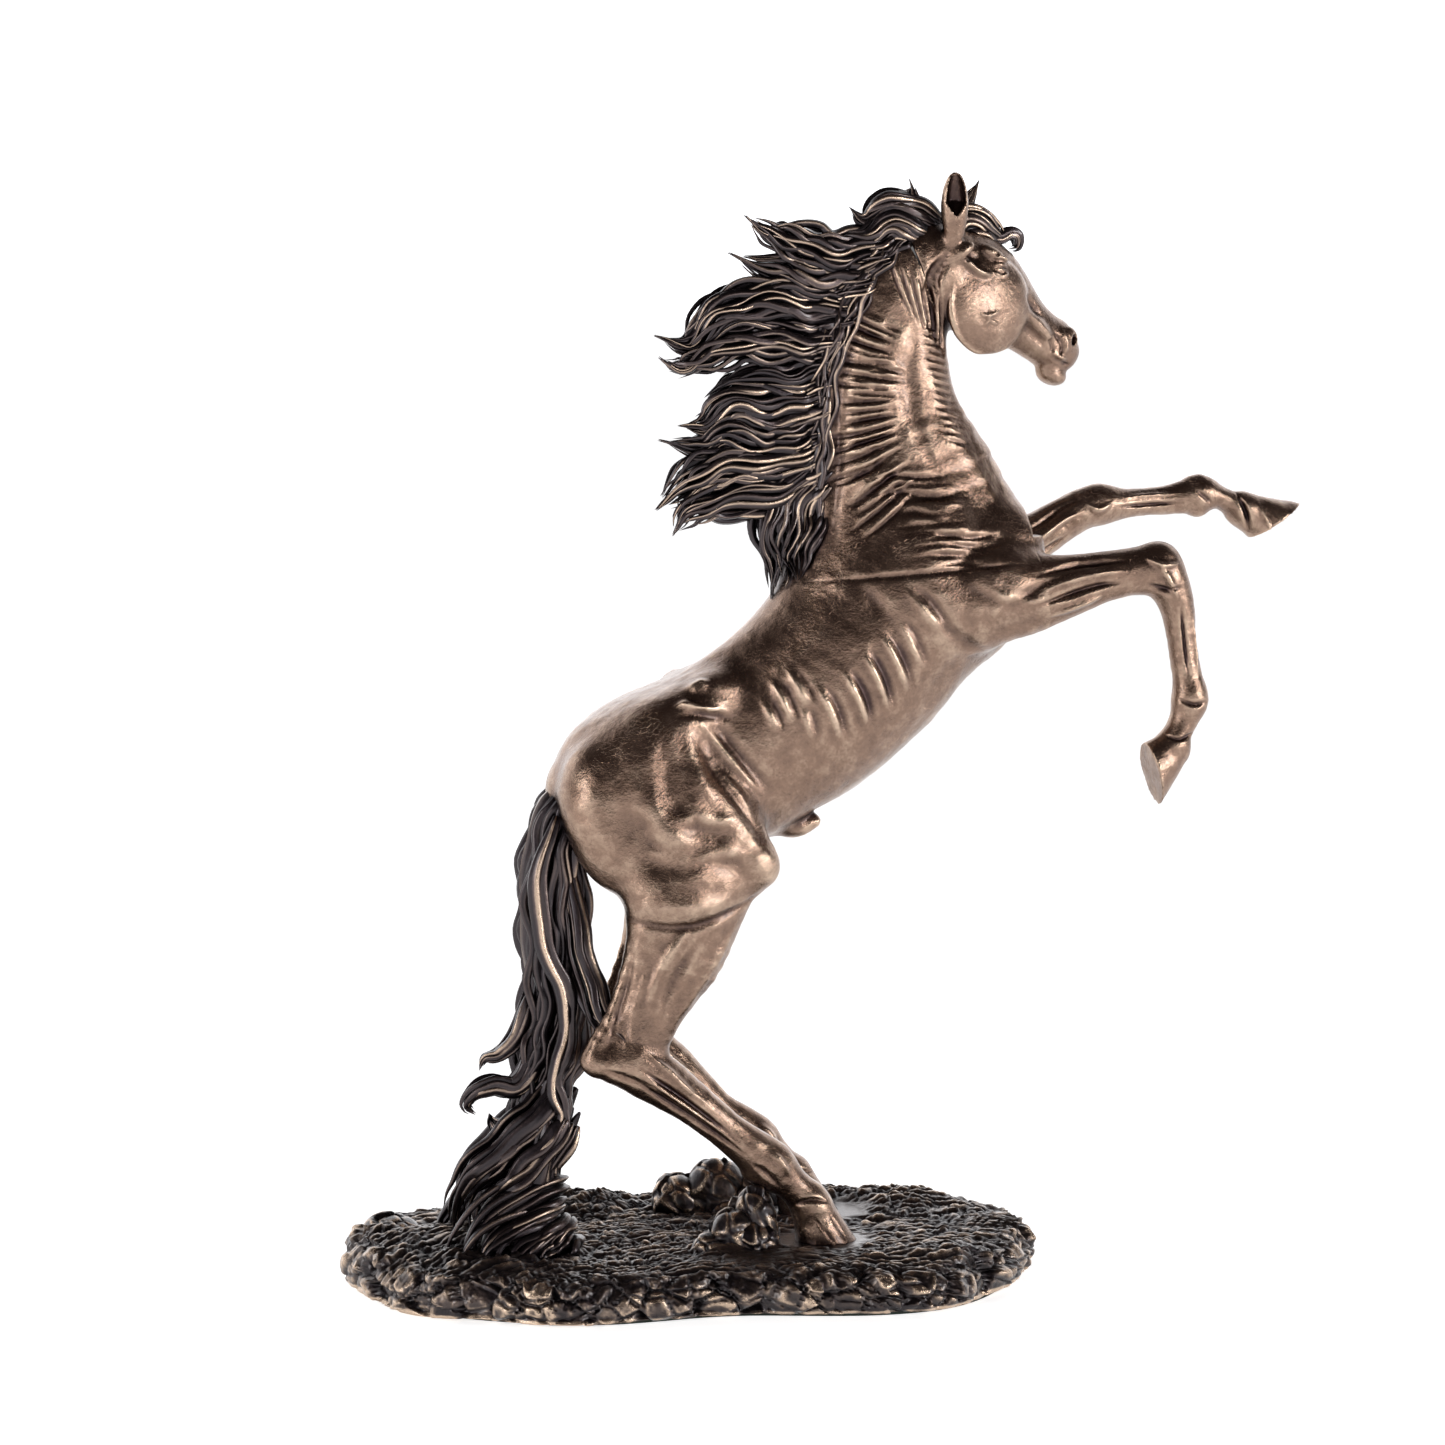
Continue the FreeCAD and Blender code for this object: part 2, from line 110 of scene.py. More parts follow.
def oval(q, axes, radii):
    """Distance to an ellipsoid: q are offsets from its centre and axes its unit directions."""
    k0 = 0
    k1 = 0
    for direction, r in zip(axes, radii):
        c = (q[0] * direction[0] + q[1] * direction[1] + q[2] * direction[2]) / r
        k0 = k0 + c * c
        k1 = k1 + (c / r) ** 2
    k0 = np.sqrt(k0)
    return k0 * (k0 - 1) / np.sqrt(np.maximum(k1, 1e-12))


def turned(tilt, yaw):
    """Axes tilted in the sagittal plane by tilt degrees from +X to +Z, then yawed to +Y."""
    t, y = math.radians(tilt), math.radians(yaw)
    a = np.array([math.cos(t) * math.cos(y), math.cos(t) * math.sin(y), math.sin(t)])
    side = np.array([-math.sin(y), math.cos(y), 0.0])
    return a, side, np.cross(a, side)


SHAPES = []        # each is (low, high, function of the grid that gives distance, fillet)


def lump(centre, radii, tilt=0.0, yaw=0.0, k=5.0, both=False):
    """A muscle or bone: an ellipsoid. Length radius first, then width, then depth. both mirrors it."""
    for side in ((1, -1) if both else (1,)):
        c = np.array([centre[0], centre[1] * side, centre[2]])
        axes = turned(tilt, yaw * side)
        reach = max(radii) + abs(k)
        SHAPES.append((c - reach, c + reach,
                       lambda g, c=c, axes=axes: oval((g[0] - c[0], g[1] - c[1], g[2] - c[2]), axes, radii), k))


def span_distance(g, a, b, up_a, side_a, ra, rb):
    """Distance to the tapering oval span from a to b. ra and rb are (depth, width) at its ends."""
    ab = b - a
    length = np.linalg.norm(ab)
    t = ab / length
    px, py, pz = g[0] - a[0], g[1] - a[1], g[2] - a[2]
    along = px * t[0] + py * t[1] + pz * t[2]
    f = np.clip(along / length, 0, 1)
    past = along - f * length
    qx, qy, qz = px - f * ab[0], py - f * ab[1], pz - f * ab[2]
    u = qx * up_a[0] + qy * up_a[1] + qz * up_a[2]
    s = qx * side_a[0] + qy * side_a[1] + qz * side_a[2]
    ru = ra[0] + (rb[0] - ra[0]) * f
    rs = ra[1] + (rb[1] - ra[1]) * f
    rw = np.minimum(ru, rs)
    k0 = np.sqrt((u / ru) ** 2 + (s / rs) ** 2 + (past / rw) ** 2)
    k1 = np.sqrt((u / ru ** 2) ** 2 + (s / rs ** 2) ** 2 + (past / rw ** 2) ** 2)
    return k0 * (k0 - 1) / np.maximum(k1, 1e-6)


def limb(stations, k=4.0, per_span=3, side_hint=(0, 1, 0)):
    """A limb through stations of x, y, z, half depth, half width."""
    path = smooth_path(stations, per_span)
    path[:, 3:] = np.maximum(path[:, 3:], 0.3)
    spans = []
    for a, b in zip(path[:-1], path[1:]):
        t = unit(b[:3] - a[:3])
        side = unit(np.array(side_hint) - t * np.dot(side_hint, t))
        spans.append((a[:3], b[:3], np.cross(side, t), side, a[3:], b[3:]))
    reach = path[:, 3:].max() + abs(k)
    low, high = path[:, :3].min(0) - reach, path[:, :3].max(0) + reach

    def distance(g):
        shape = np.broadcast_shapes(g[0].shape, g[1].shape, g[2].shape)
        out = np.full(shape, 9.0, np.float32)
        for a, b, up, side, ra, rb in spans:
            r = max(*ra, *rb) + abs(k) + 1
            lo, hi = np.minimum(a, b) - r, np.maximum(a, b) + r
            cut = []
            for axis in range(3):
                line = g[axis].ravel()
                i0, i1 = np.searchsorted(line, lo[axis]), np.searchsorted(line, hi[axis])
                cut.append(slice(i0, i1))
            if any(c.stop <= c.start for c in cut):
                continue
            part = (g[0][cut[0]], g[1][:, cut[1]], g[2][:, :, cut[2]])
            d = span_distance(part, a, b, up, side, ra, rb)
            old = out[tuple(cut)]
            h = np.maximum(0.8 - np.abs(old - d), 0) / 0.8
            out[tuple(cut)] = np.minimum(old, d) - h * h * 0.2
        return out
    SHAPES.append((low, high, distance, k))


def hoof_shape(coronet, sole, depth, width, sole_way):
    """A hoof between the middles of its coronet and sole, cut flat at the sole, which faces sole_way."""
    a, b = np.array(coronet, float), np.array(sole, float)
    t = unit(b - a)
    way = unit(sole_way)
    side = unit(np.array([0, 1.0, 0]) - t * t[1])
    up = np.cross(side, t)
    far = b + t * 7

    def distance(g):
        d = span_distance(g, a, far, up, side, (depth * 0.66, width * 0.70), (depth * 1.22, width * 1.16))
        low = (g[0] - b[0]) * way[0] + (g[1] - b[1]) * way[1] + (g[2] - b[2]) * way[2]
        return np.maximum(d, low)
    reach = max(depth, width) + 9
    SHAPES.append((np.minimum(a, b) - reach, np.maximum(a, b) + reach, distance, 2.2))


def surface(field):
    """Surface nets: vertices and quads of the zero level, outward facing."""
    d = field.d
    inside = d < 0
    corner = [inside[i:d.shape[0] - 1 + i, j:d.shape[1] - 1 + j, k:d.shape[2] - 1 + k]
              for i in (0, 1) for j in (0, 1) for k in (0, 1)]
    total = sum(c.astype(np.uint8) for c in corner)
    cells = np.argwhere((total > 0) & (total < 8))
    index = np.full(total.shape, -1, np.int32)
    index[tuple(cells.T)] = np.arange(len(cells))
    sums = np.zeros((len(cells), 3))
    hits = np.zeros(len(cells))
    offsets = [(i, j, k) for i in (0, 1) for j in (0, 1) for k in (0, 1)]
    value = {o: d[tuple((cells + o).T)] for o in offsets}
    for o in offsets:
        for axis in range(3):
            if o[axis]:
                continue
            e = list(o)
            e[axis] = 1
            a, b = value[o], value[tuple(e)]
            crossing = (a < 0) != (b < 0)
            t = np.where(crossing, a / np.where(crossing, a - b, 1), 0)
            point = np.array(o, float) + t[:, None] * (np.array(e) - np.array(o))
            sums += np.where(crossing[:, None], point, 0)
            hits += crossing
    vertices = (cells + sums / hits[:, None]) * field.step + field.low
    quads = []
    for axis in range(3):
        u, v = (axis + 1) % 3, (axis + 2) % 3
        first = [slice(1, -1)] * 3
        first[axis] = slice(0, -1)
        second = list(first)
        second[axis] = slice(1, None)
        a, b = inside[tuple(first)], inside[tuple(second)]
        at = np.argwhere(a != b)
        low = at + 1
        low[:, axis] -= 1
        out = a[tuple(at.T)]
        du, dv = np.zeros(3, int), np.zeros(3, int)
        du[u], dv[v] = 1, 1
        four = [index[tuple(p.T)] for p in (low - du - dv, low - dv, low, low - du)]
        quad = np.stack(four, 1)
        quads.append(np.where(out[:, None], quad, quad[:, ::-1]))
    return vertices, np.vstack(quads)


def carve(low, high, step, keep):
    """Meshes the horse inside a window. keep gives distances that cut the piece off from its neighbours."""
    field = Field(low, high, step * COARSE)
    for lo, hi, distance, k in SHAPES:
        where, g = field.window(lo, hi)
        if where is None:
            continue
        field.blend(where, distance(g).astype(np.float32), k)
    _, g = field.window(low, high)
    field.d = keep(field.d, g)
    for axis in range(3):
        ends = [slice(None)] * 3
        for end in (0, -1):
            ends[axis] = end
            field.d[tuple(ends)] = 1.0
    return surface(field)


# ---------------------------------------------------------------- meshes
def vertex_normals(v, f):
    n = np.cross(v[f[:, 2]] - v[f[:, 0]], v[f[:, 3]] - v[f[:, 1]]) if f.shape[1] == 4 else \
        np.cross(v[f[:, 1]] - v[f[:, 0]], v[f[:, 2]] - v[f[:, 0]])
    out = np.zeros_like(v)
    for k in range(f.shape[1]):
        for axis in range(3):
            out[:, axis] += np.bincount(f[:, k], n[:, axis], len(v))
    return unit(out)


def neighbour_mean(values, f, count):
    """Mean of each vertex's neighbours along face edges."""
    total = np.zeros_like(values)
    number = np.zeros(count)
    for k in range(f.shape[1]):
        a, b = f[:, k], f[:, (k + 1) % f.shape[1]]
        for p, q in ((a, b), (b, a)):
            number += np.bincount(p, minlength=count)
            if values.ndim == 1:
                total += np.bincount(p, values[q], count)
            else:
                for axis in range(values.shape[1]):
                    total[:, axis] += np.bincount(p, values[q, axis], count)
    number = np.maximum(number, 1)
    return total / (number if values.ndim == 1 else number[:, None])


def relief(v, f, rounds=(1, 5, 14)):
    """How far each vertex stands proud of its surroundings, in millimetres, over several widths."""
    n = vertex_normals(v, f)
    smooth = v.copy()
    done = 0
    out = np.zeros(len(v))
    for r in rounds:
        while done < r:
            smooth = neighbour_mean(smooth, f, len(v))
            done += 1
        out += np.einsum("ij,ij->i", v - smooth, n) / math.sqrt(r)
    return neighbour_mean(out, f, len(v))


def make_object(name, v, f, material, nodes, extra=None):
    """A visible piece on the body. nodes are the CAD nodes it stands for and extra is how proud its points stand,
    which on hair and ground also holds painted highlights, and on the ground painted shade too.
    """
    mesh = bpy.data.meshes.new(name)
    f = np.asarray(f)
    mesh.vertices.add(len(v))
    mesh.vertices.foreach_set("co", (np.asarray(v) * MM).astype(np.float32).ravel())
    mesh.loops.add(f.size)
    mesh.loops.foreach_set("vertex_index", f.astype(np.int32).ravel())
    mesh.polygons.add(len(f))
    mesh.polygons.foreach_set("loop_start", np.arange(0, f.size, f.shape[1], dtype=np.int32))
    mesh.polygons.foreach_set("loop_total", np.full(len(f), f.shape[1], np.int32))
    mesh.update(calc_edges=True)
    mesh.polygons.foreach_set("use_smooth", np.ones(len(f), bool))
    proud = mesh.attributes.new("proud", "FLOAT", "POINT")
    proud.data.foreach_set("value", (relief(v, f) if extra is None else extra).astype(np.float32))
    mesh.materials.append(material)
    obj = bpy.data.objects.new(name, mesh)
    bpy.context.scene.collection.objects.link(obj)
    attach(obj, "root")
    if nodes:
        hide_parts(*nodes)


def tube_faces(rows, sides, flip=False):
    """Triangles of a closed tube of rows x sides points, followed by the points that close its start and end."""
    i, j = np.meshgrid(np.arange(rows - 1), np.arange(sides), indexing="ij")
    p0, p1 = i * sides + j, i * sides + (j + 1) % sides
    ring = np.arange(sides)
    here, after = (ring, (ring + 1) % sides) if flip else ((ring + 1) % sides, ring)
    e, g = (p0 + sides, p1) if flip else (p1, p0 + sides)
    last = (rows - 1) * sides
    return np.vstack([np.stack([p0, e, p1 + sides], -1).reshape(-1, 3),
                      np.stack([p0, p1 + sides, g], -1).reshape(-1, 3),
                      np.stack([np.full(sides, rows * sides), here, after], 1),
                      np.stack([np.full(sides, rows * sides + 1), last + after, last + here], 1)])


# ---------------------------------------------------------------- noise
def hash3(i, j, k, seed):
    """Repeatable numbers from 0 to 1 for whole-number cells."""
    n = (i * 73856093) ^ (j * 19349663) ^ (k * 83492791) ^ (seed * 2654435761)
    n = (n ^ (n >> 13)) * 1274126177
    return ((n ^ (n >> 16)) & 0xFFFFFF) / float(0xFFFFFF)


def value_noise(p, size, seed=1):
    """Smooth noise from -1 to 1 at points p, with features about size across."""
    q = np.asarray(p) / size + 1000.0
    i = np.floor(q).astype(np.int64)
    f = q - i
    f = ease(f)
    out = 0
    for a in (0, 1):
        for b in (0, 1):
            for c in (0, 1):
                w = (f[:, 0] if a else 1 - f[:, 0]) * (f[:, 1] if b else 1 - f[:, 1]) * (f[:, 2] if c else 1 - f[:,
                        2])
                out = out + w * hash3(i[:, 0] + a, i[:, 1] + b, i[:, 2] + c, seed)
    return out * 2 - 1


def facets(p, size, seed=1):
    """Chiselled relief: height of a tilted flat patch in each cell of random stones, from -1 to 1, and the
    distance to the cell's edge."""
    q = np.asarray(p) / size + 500.0
    cell = np.floor(q).astype(np.int64)
    best = np.full(len(q), 9.0)
    second = np.full(len(q), 9.0)
    height = np.zeros(len(q))
    for a in (-1, 0, 1):
        for b in (-1, 0, 1):
            for c in (-1, 0, 1):
                i, j, k = cell[:, 0] + a, cell[:, 1] + b, cell[:, 2] + c
                r = [hash3(i, j, k, seed + m) for m in range(6)]
                off = q - np.stack([i + r[0], j + r[1], k + r[2]], 1)
                dist = np.sqrt((off ** 2).sum(1))
                h = (r[3] * 2 - 1) * 0.5 + off[:, 0] * (r[4] * 2 - 1) * 0.9 + off[:, 1] * (r[5] * 2 - 1) * 0.9
                nearer = dist < best
                second = np.where(nearer, best, np.minimum(second, dist))
                height = np.where(nearer, h, height)
                best = np.where(nearer, dist, best)
    return height, second - best


# ---------------------------------------------------------------- the horse's shapes
def build_horse():
    # barrel, from the croup to the chest
    limb([(-36, 0, 150, 9, 9), (-27, 0, 148, 21, 15), (-8, 0, 152, 26, 20), (8, 0, 156.5, 28, 19.5),
          (22, 0, 164.5, 28.4, 20.5), (37, 0, 174.5, 29.8, 22.5), (50.5, 0, 187.5, 31, 23), (62, 0, 200, 30.5, 21),
          (76, 0, 210, 26, 18.5), (90, 0, 219, 16.5, 14)], k=6, per_span=4)
    # neck
    limb([(66, 0, 200, 34, 19), (67, 0, 214, 37.5, 18.5), (64.5, 0, 234, 31.5, 15.5), (59, 0, 256, 23.5, 12.5),
          (57.5, 0, 276, 20.5, 11), (61, 0, 290, 18, 10), (67, 0, 299, 15, 9.5), (75, 0.4, 304, 12, 8.5)], k=8,
          per_span=4)
    # hips, rump and thigh muscles, both sides
    lump((-4, -12, 172), (15, 8, 7), tilt=38, k=7, both=True)
    lump((-20, -11, 158), (20, 12, 13), tilt=40, k=8, both=True)
    for y, e in ((-1, 0), (1, 8)):
        lump((-29 + e * 0.6, 13 * y, 140), (22, 10.5, 13), tilt=108, k=7)
        lump((-12 + e, 17 * y, 135), (26, 11, 17), tilt=100, k=7)
        lump((4 + e * 0.5, 17.5 * y, 137), (21, 9, 12), tilt=118, k=6)
        lump((-9 + e, 19 * y, 119), (14, 9, 14), tilt=90, k=6)
        lump((14 + e * 0.4, 20.5 * y, 126.5), (6, 5, 6.2), tilt=70, k=6)
    # shoulder blades, upper arms and breast
    lump((66, -14.5, 206), (26, 7, 12), tilt=72, k=7, both=True)
    lump((79, -14.5, 201), (19, 9.5, 12), tilt=8, k=6, both=True)
    lump((94, -8.5, 217), (12, 9, 12), tilt=60, k=6, both=True)
    lump((88, -16.5, 209), (12, 7, 9), tilt=20, k=5, both=True)
    # sheath
    limb([(18, 0, 141, 6, 5), (25, 0, 136.8, 3.8, 4.2), (31, 0, 134.8, 3.0, 3.6), (37, 0, 136.4, 2.3, 3.0)], k=2.5)

    # hind legs
    hind(-20.0, 0.0, 0.0)
    hind(16.5, 8.5, 5.0)
    # near foreleg
    limb([(84, -15, 204, 15, 9), (95, -16.4, 204.5, 12.6, 8.6), (104, -17.6, 205.7, 10.8, 7.6),
          (113, -18.4, 207.6, 9, 6.6),
          (122, -19, 209.8, 7.4, 5.8), (130, -19.6, 211, 7, 5.6), (137.5, -20, 211.6, 7.6, 6)], k=4)
    limb([(139, -20, 213.4, 6.8, 6.4), (142.6, -20, 207, 6.2, 6.2), (145.4, -20, 199, 4.9, 5),
          (146.9, -20, 189, 4.2, 4.1),
          (148.6, -20, 179, 4.5, 4.2), (149.4, -20, 172, 5.6, 5.1), (148.2, -19.9, 167, 4.3, 4.2),
          (145.8, -19.8, 162, 3.9, 4.1), (144.2, -19.7, 158.6, 4.6, 4.8)], k=2.5)
    hoof_shape((144.6, -19.6, 157.2), (137.2, -20, 151.2), 8.9, 7.0, (-0.965, -0.06, -0.25))
    # far foreleg
    limb([(88, 12, 210, 14, 8), (98, 13.6, 213.5, 10, 7.6), (105, 14.6, 216.2, 8.4, 7), (113, 15.6, 220, 7.2, 6.3),
          (121, 16.3, 224.4, 6.6, 5.8), (128, 16.8, 227.8, 6.2, 6), (134.5, 17.2, 229, 6.2, 5.8),
          (142, 17.5, 229.2, 4.4, 4.5), (151, 18, 229.8, 4.1, 4), (160, 18, 230.6, 4.7, 4.2),
          (167, 18, 231.8, 6, 5.3),
          (172.6, 18, 231.0, 3.5, 4.2), (177.4, 18, 228.8, 3.5, 4.2), (181.6, 18, 226.6, 4.8, 5.2)], k=2.4)
    lump((166.4, 18, 226.6), (2.6, 2.6, 1.8), k=2.2)
    hoof_shape((181.4, 18, 226.8), (190.8, 18, 222.4), 8.0, 7.2, (0.54, 0, -0.84))


def hind(y, s, e):
    """A hind leg in the plane y, with its hock s and its foot e further forward than the near one's."""
    limb([(-6 + s * 0.8, y * 0.9, 122, 20, 10), (-8 + s * 0.9, y * 0.95, 111, 17, 9), (-10 + s, y, 102, 14.4, 7.6),
          (-14 + s, y, 93, 11.2, 6.4), (-18 + s, y, 84.5, 9.2, 5.6), (-21 + s, y, 77, 8.4, 5.2),
          (-24 + s, y, 71.5, 7.6, 5)], k=4)
    # Achilles tendon and point of the hock
    limb([(-17 + s, y, 112, 7, 6), (-22 + s, y, 100, 4.6, 4), (-28 + s, y, 86, 3.2, 2.7),
          (-34 + s, y, 75.5, 3.2, 2.8), (-36.2 + s, y, 70.4, 3.6, 3.4)], k=3.4)
    # hock and cannon, down to the coronet
    limb([(-33 + s, y, 69.6, 4.6, 4.6), (-24 + s, y, 68.6, 7.6, 6.2), (-15.5 + s, y, 63.6, 7.4, 6),
          (-7 + s + (e - s) * 0.3, y, 57.4, 6.4, 5.3),
          (0 + s + (e - s) * 0.6, y, 51.6, 5.5, 4.6), (7 + e, y, 45.6, 5.5, 4.7), (13 + e, y, 40.8, 6.4, 5.6),
          (18.5 + e, y, 36, 7.2, 6.3), (23.6 + e, y, 31.4, 5.4, 5.3), (27.8 + e, y, 27, 5.2, 5.3),
          (30.6 + e, y, 23.4, 6, 6.2)], k=3)
    lump((12.8 + e, y, 34.6), (3, 3, 2.6), k=2)
    hoof_shape((30.4 + e, y, 24.8), (34.8 + e, y, GROUND - 0.6), 8.6, 8.0, (0, 0, -1))


# ---------------------------------------------------------------- the head, in its own frame
HEAD_AT = np.array([76.0, 0.0, 0.0])
HEAD_YAW = 18.5
HEAD_SHORTEN = 0.9         # along the head


def at_head(x, y, z):
    """From the head's own frame (x forward from the poll, y to its left, z up) to the horse's."""
    x = x * HEAD_SHORTEN
    c, s = math.cos(math.radians(HEAD_YAW)), math.sin(math.radians(HEAD_YAW))
    return (HEAD_AT[0] + c * x - s * y, HEAD_AT[1] + s * x + c * y, z)


def head_lump(x, y, z, radii, tilt, k, both=True):
    """A lump on the head, on both sides unless it sits in the middle or both is off."""
    for side in ((-1, 1) if both and y else (1,)):
        lump(at_head(x, y * side, z), radii, tilt, HEAD_YAW, k)


def head_limb(stations, k):
    c, s = math.cos(math.radians(HEAD_YAW)), math.sin(math.radians(HEAD_YAW))
    limb([(*at_head(x, y, z), d, w) for x, y, z, d, w in stations], k, side_hint=(-s, c, 0))


def build_head():
    head_limb([(-4, 0, 302, 11, 7), (4, 0, 301, 13, 8.4), (12, 0, 297.5, 15, 8.8), (20, 0, 294, 14.4, 8.6),
               (28, 0, 289.5, 11.4, 7.4), (35, 0, 285, 9, 6), (42, 0, 281, 8, 5.6), (48, 0, 278, 8, 5.8),
               (52, 0, 276, 6, 5)], k=5)
    head_lump(14.3, -6.8, 290.9, (15.3, 4.6, 14.8), tilt=-40, k=1.0, both=False)    # round cheeks
    head_lump(19, 6.4, 293, (12.5, 4.4, 12), tilt=-40, k=1.6, both=False)
    head_lump(16, -7.8, 305.2, (5.2, 2.8, 2.2), tilt=-30, k=1.4)         # brows
    head_lump(16.8, -8.8, 301.9, (2.9, 2.0, 2.1), tilt=-25, k=0.6)       # eyeballs
    head_lump(33, -6, 286.5, (9, 1.6, 1.6), tilt=-38, k=2.5)             # facial crests
    head_lump(50, -4.2, 280, (3.4, 2, 4), tilt=-60, k=1.8)               # nostril wings
    head_lump(52, -5.2, 280, (1.9, 1.6, 1.0), tilt=60, k=-0.8)           # nostrils
    head_lump(47, 0, 269.3, (5.2, 4.0, 3.3), tilt=-20, k=2, both=False)  # lower lip and chin
    # the groove behind the near jaw
    limb([(75, -10.4, 305, 1.4, 1.6), (71.4, -10.2, 299, 2.0, 2.2), (70.6, -10, 292, 2.2, 2.6),
          (72.4, -9.2, 284, 2.2, 2.8), (76.5, -7.4, 277, 2.0, 2.6)], k=-1.2)


def build_ears():
    ear((77.8, -7.6, 304.6), (77.0, -11.2, 329.8), 5.0, -1)
    lump((80, -8.4, 306.5), (4.4, 2.6, 2.2), tilt=35, k=1.6)
    ear((75, 6.5, 304), (69, 10.5, 325.5), 4.3, 1)


def ear(root, tip, width, side):
    """An ear from root to tip, hollow on the side (-1 near, 1 far) that it opens to."""
    a, b = np.array(root, float), np.array(tip, float)
    along = unit(b - a)
    open_way = unit(np.array([-0.10, side, 0.1]) - along * np.dot([-0.10, side, 0.1], along))
    across = np.cross(along, open_way)
    length = np.linalg.norm(b - a)

    def distance(g):
        q = (g[0] - a[0], g[1] - a[1], g[2] - a[2])
        h = (q[0] * along[0] + q[1] * along[1] + q[2] * along[2]) / length
        u = q[0] * across[0] + q[1] * across[1] + q[2] * across[2]
        w = q[0] * open_way[0] + q[1] * open_way[1] + q[2] * open_way[2]
        hc = np.clip(h, 0, 1)
        r = width * (0.16 + 1.75 * hc - 1.05 * hc ** 2) * np.sqrt(np.clip(1.0 - hc ** 4, 0, 1)) + 0.15
        solid = np.sqrt(u * u + (w * 1.25) ** 2) - r
        hollow = np.sqrt((u * 1.05) ** 2 + ((w - r * 0.60) * 0.8) ** 2) - r * 0.80
        hollow = np.maximum(hollow + np.clip(0.66 - h, 0, 1) * width * 3.4, (0.3 - h) * length)
        d = np.maximum(solid, -hollow)
        return np.maximum(np.maximum(d, (h - 1) * length), (-0.4 - h) * length) * 0.8
    low, high = np.minimum(a, b) - width * 2, np.maximum(a, b) + width * 2
    SHAPES.append((low, high, distance, 2.6))


build_horse()
build_head()
build_ears()


# ---------------------------------------------------------------- strokes on the skin
def stroke(v, n, points, width, height, half=0, taper=0.4):
    """Raises (or with height below 0 presses in) a soft line along points (x, z), or (x, y, z). half keeps it
    to the near (-1) or far (1) side of the horse."""
    p = smooth_path(points, 5)
    flat = p.shape[1] == 2
    w = v[:, [0, 2]] if flat else v
    reach = width * 2.6
    mask = np.all((w > p.min(0) - reach) & (w < p.max(0) + reach), axis=1)
    if half:
        mask &= v[:, 1] * half > 0
    ids = np.nonzero(mask)[0]
    if not len(ids):
        return
    q = w[ids]
    best = np.full(len(ids), 1e9)
    where = np.zeros(len(ids))
    for i, (a, b) in enumerate(zip(p[:-1], p[1:])):
        ab = b - a
        t = np.clip(((q - a) @ ab) / max(ab @ ab, 1e-9), 0, 1)
        d = ((q - a - t[:, None] * ab) ** 2).sum(1)
        nearer = d < best
        best[nearer] = d[nearer]
        where[nearer] = (i + t[nearer]) / (len(p) - 1)
    fade = ease(np.clip(np.minimum(where, 1 - where) / taper, 0, 1))
    lift = height * np.exp(-best / (width * (0.45 + 0.55 * fade)) ** 2) * fade
    if flat:
        lift *= np.clip(np.abs(n[ids, 1]) * 2.5 - 0.2, 0, 1)
    v[ids] += n[ids] * lift[:, None]


# Each rib is: height, then x, z, x, z and so on.
RIBS = [(0.5, 15, 177, 18, 171, 20, 165), (0.6, 18, 182.5, 21.5, 176, 24.5, 168),
        (0.5, 23, 185.5, 26.5, 179, 29.5, 173),
        (0.4, 27, 174, 28.6, 169, 30.5, 162), (0.7, 31, 180.5, 36, 172, 40, 161),
        (0.8, 38.5, 185.5, 44, 176, 48, 165),
        (0.8, 44.5, 191, 50, 181, 54.5, 170), (0.65, 50, 196, 56, 186, 60.5, 175), (0.5, 55, 200, 60, 192, 65, 182)]
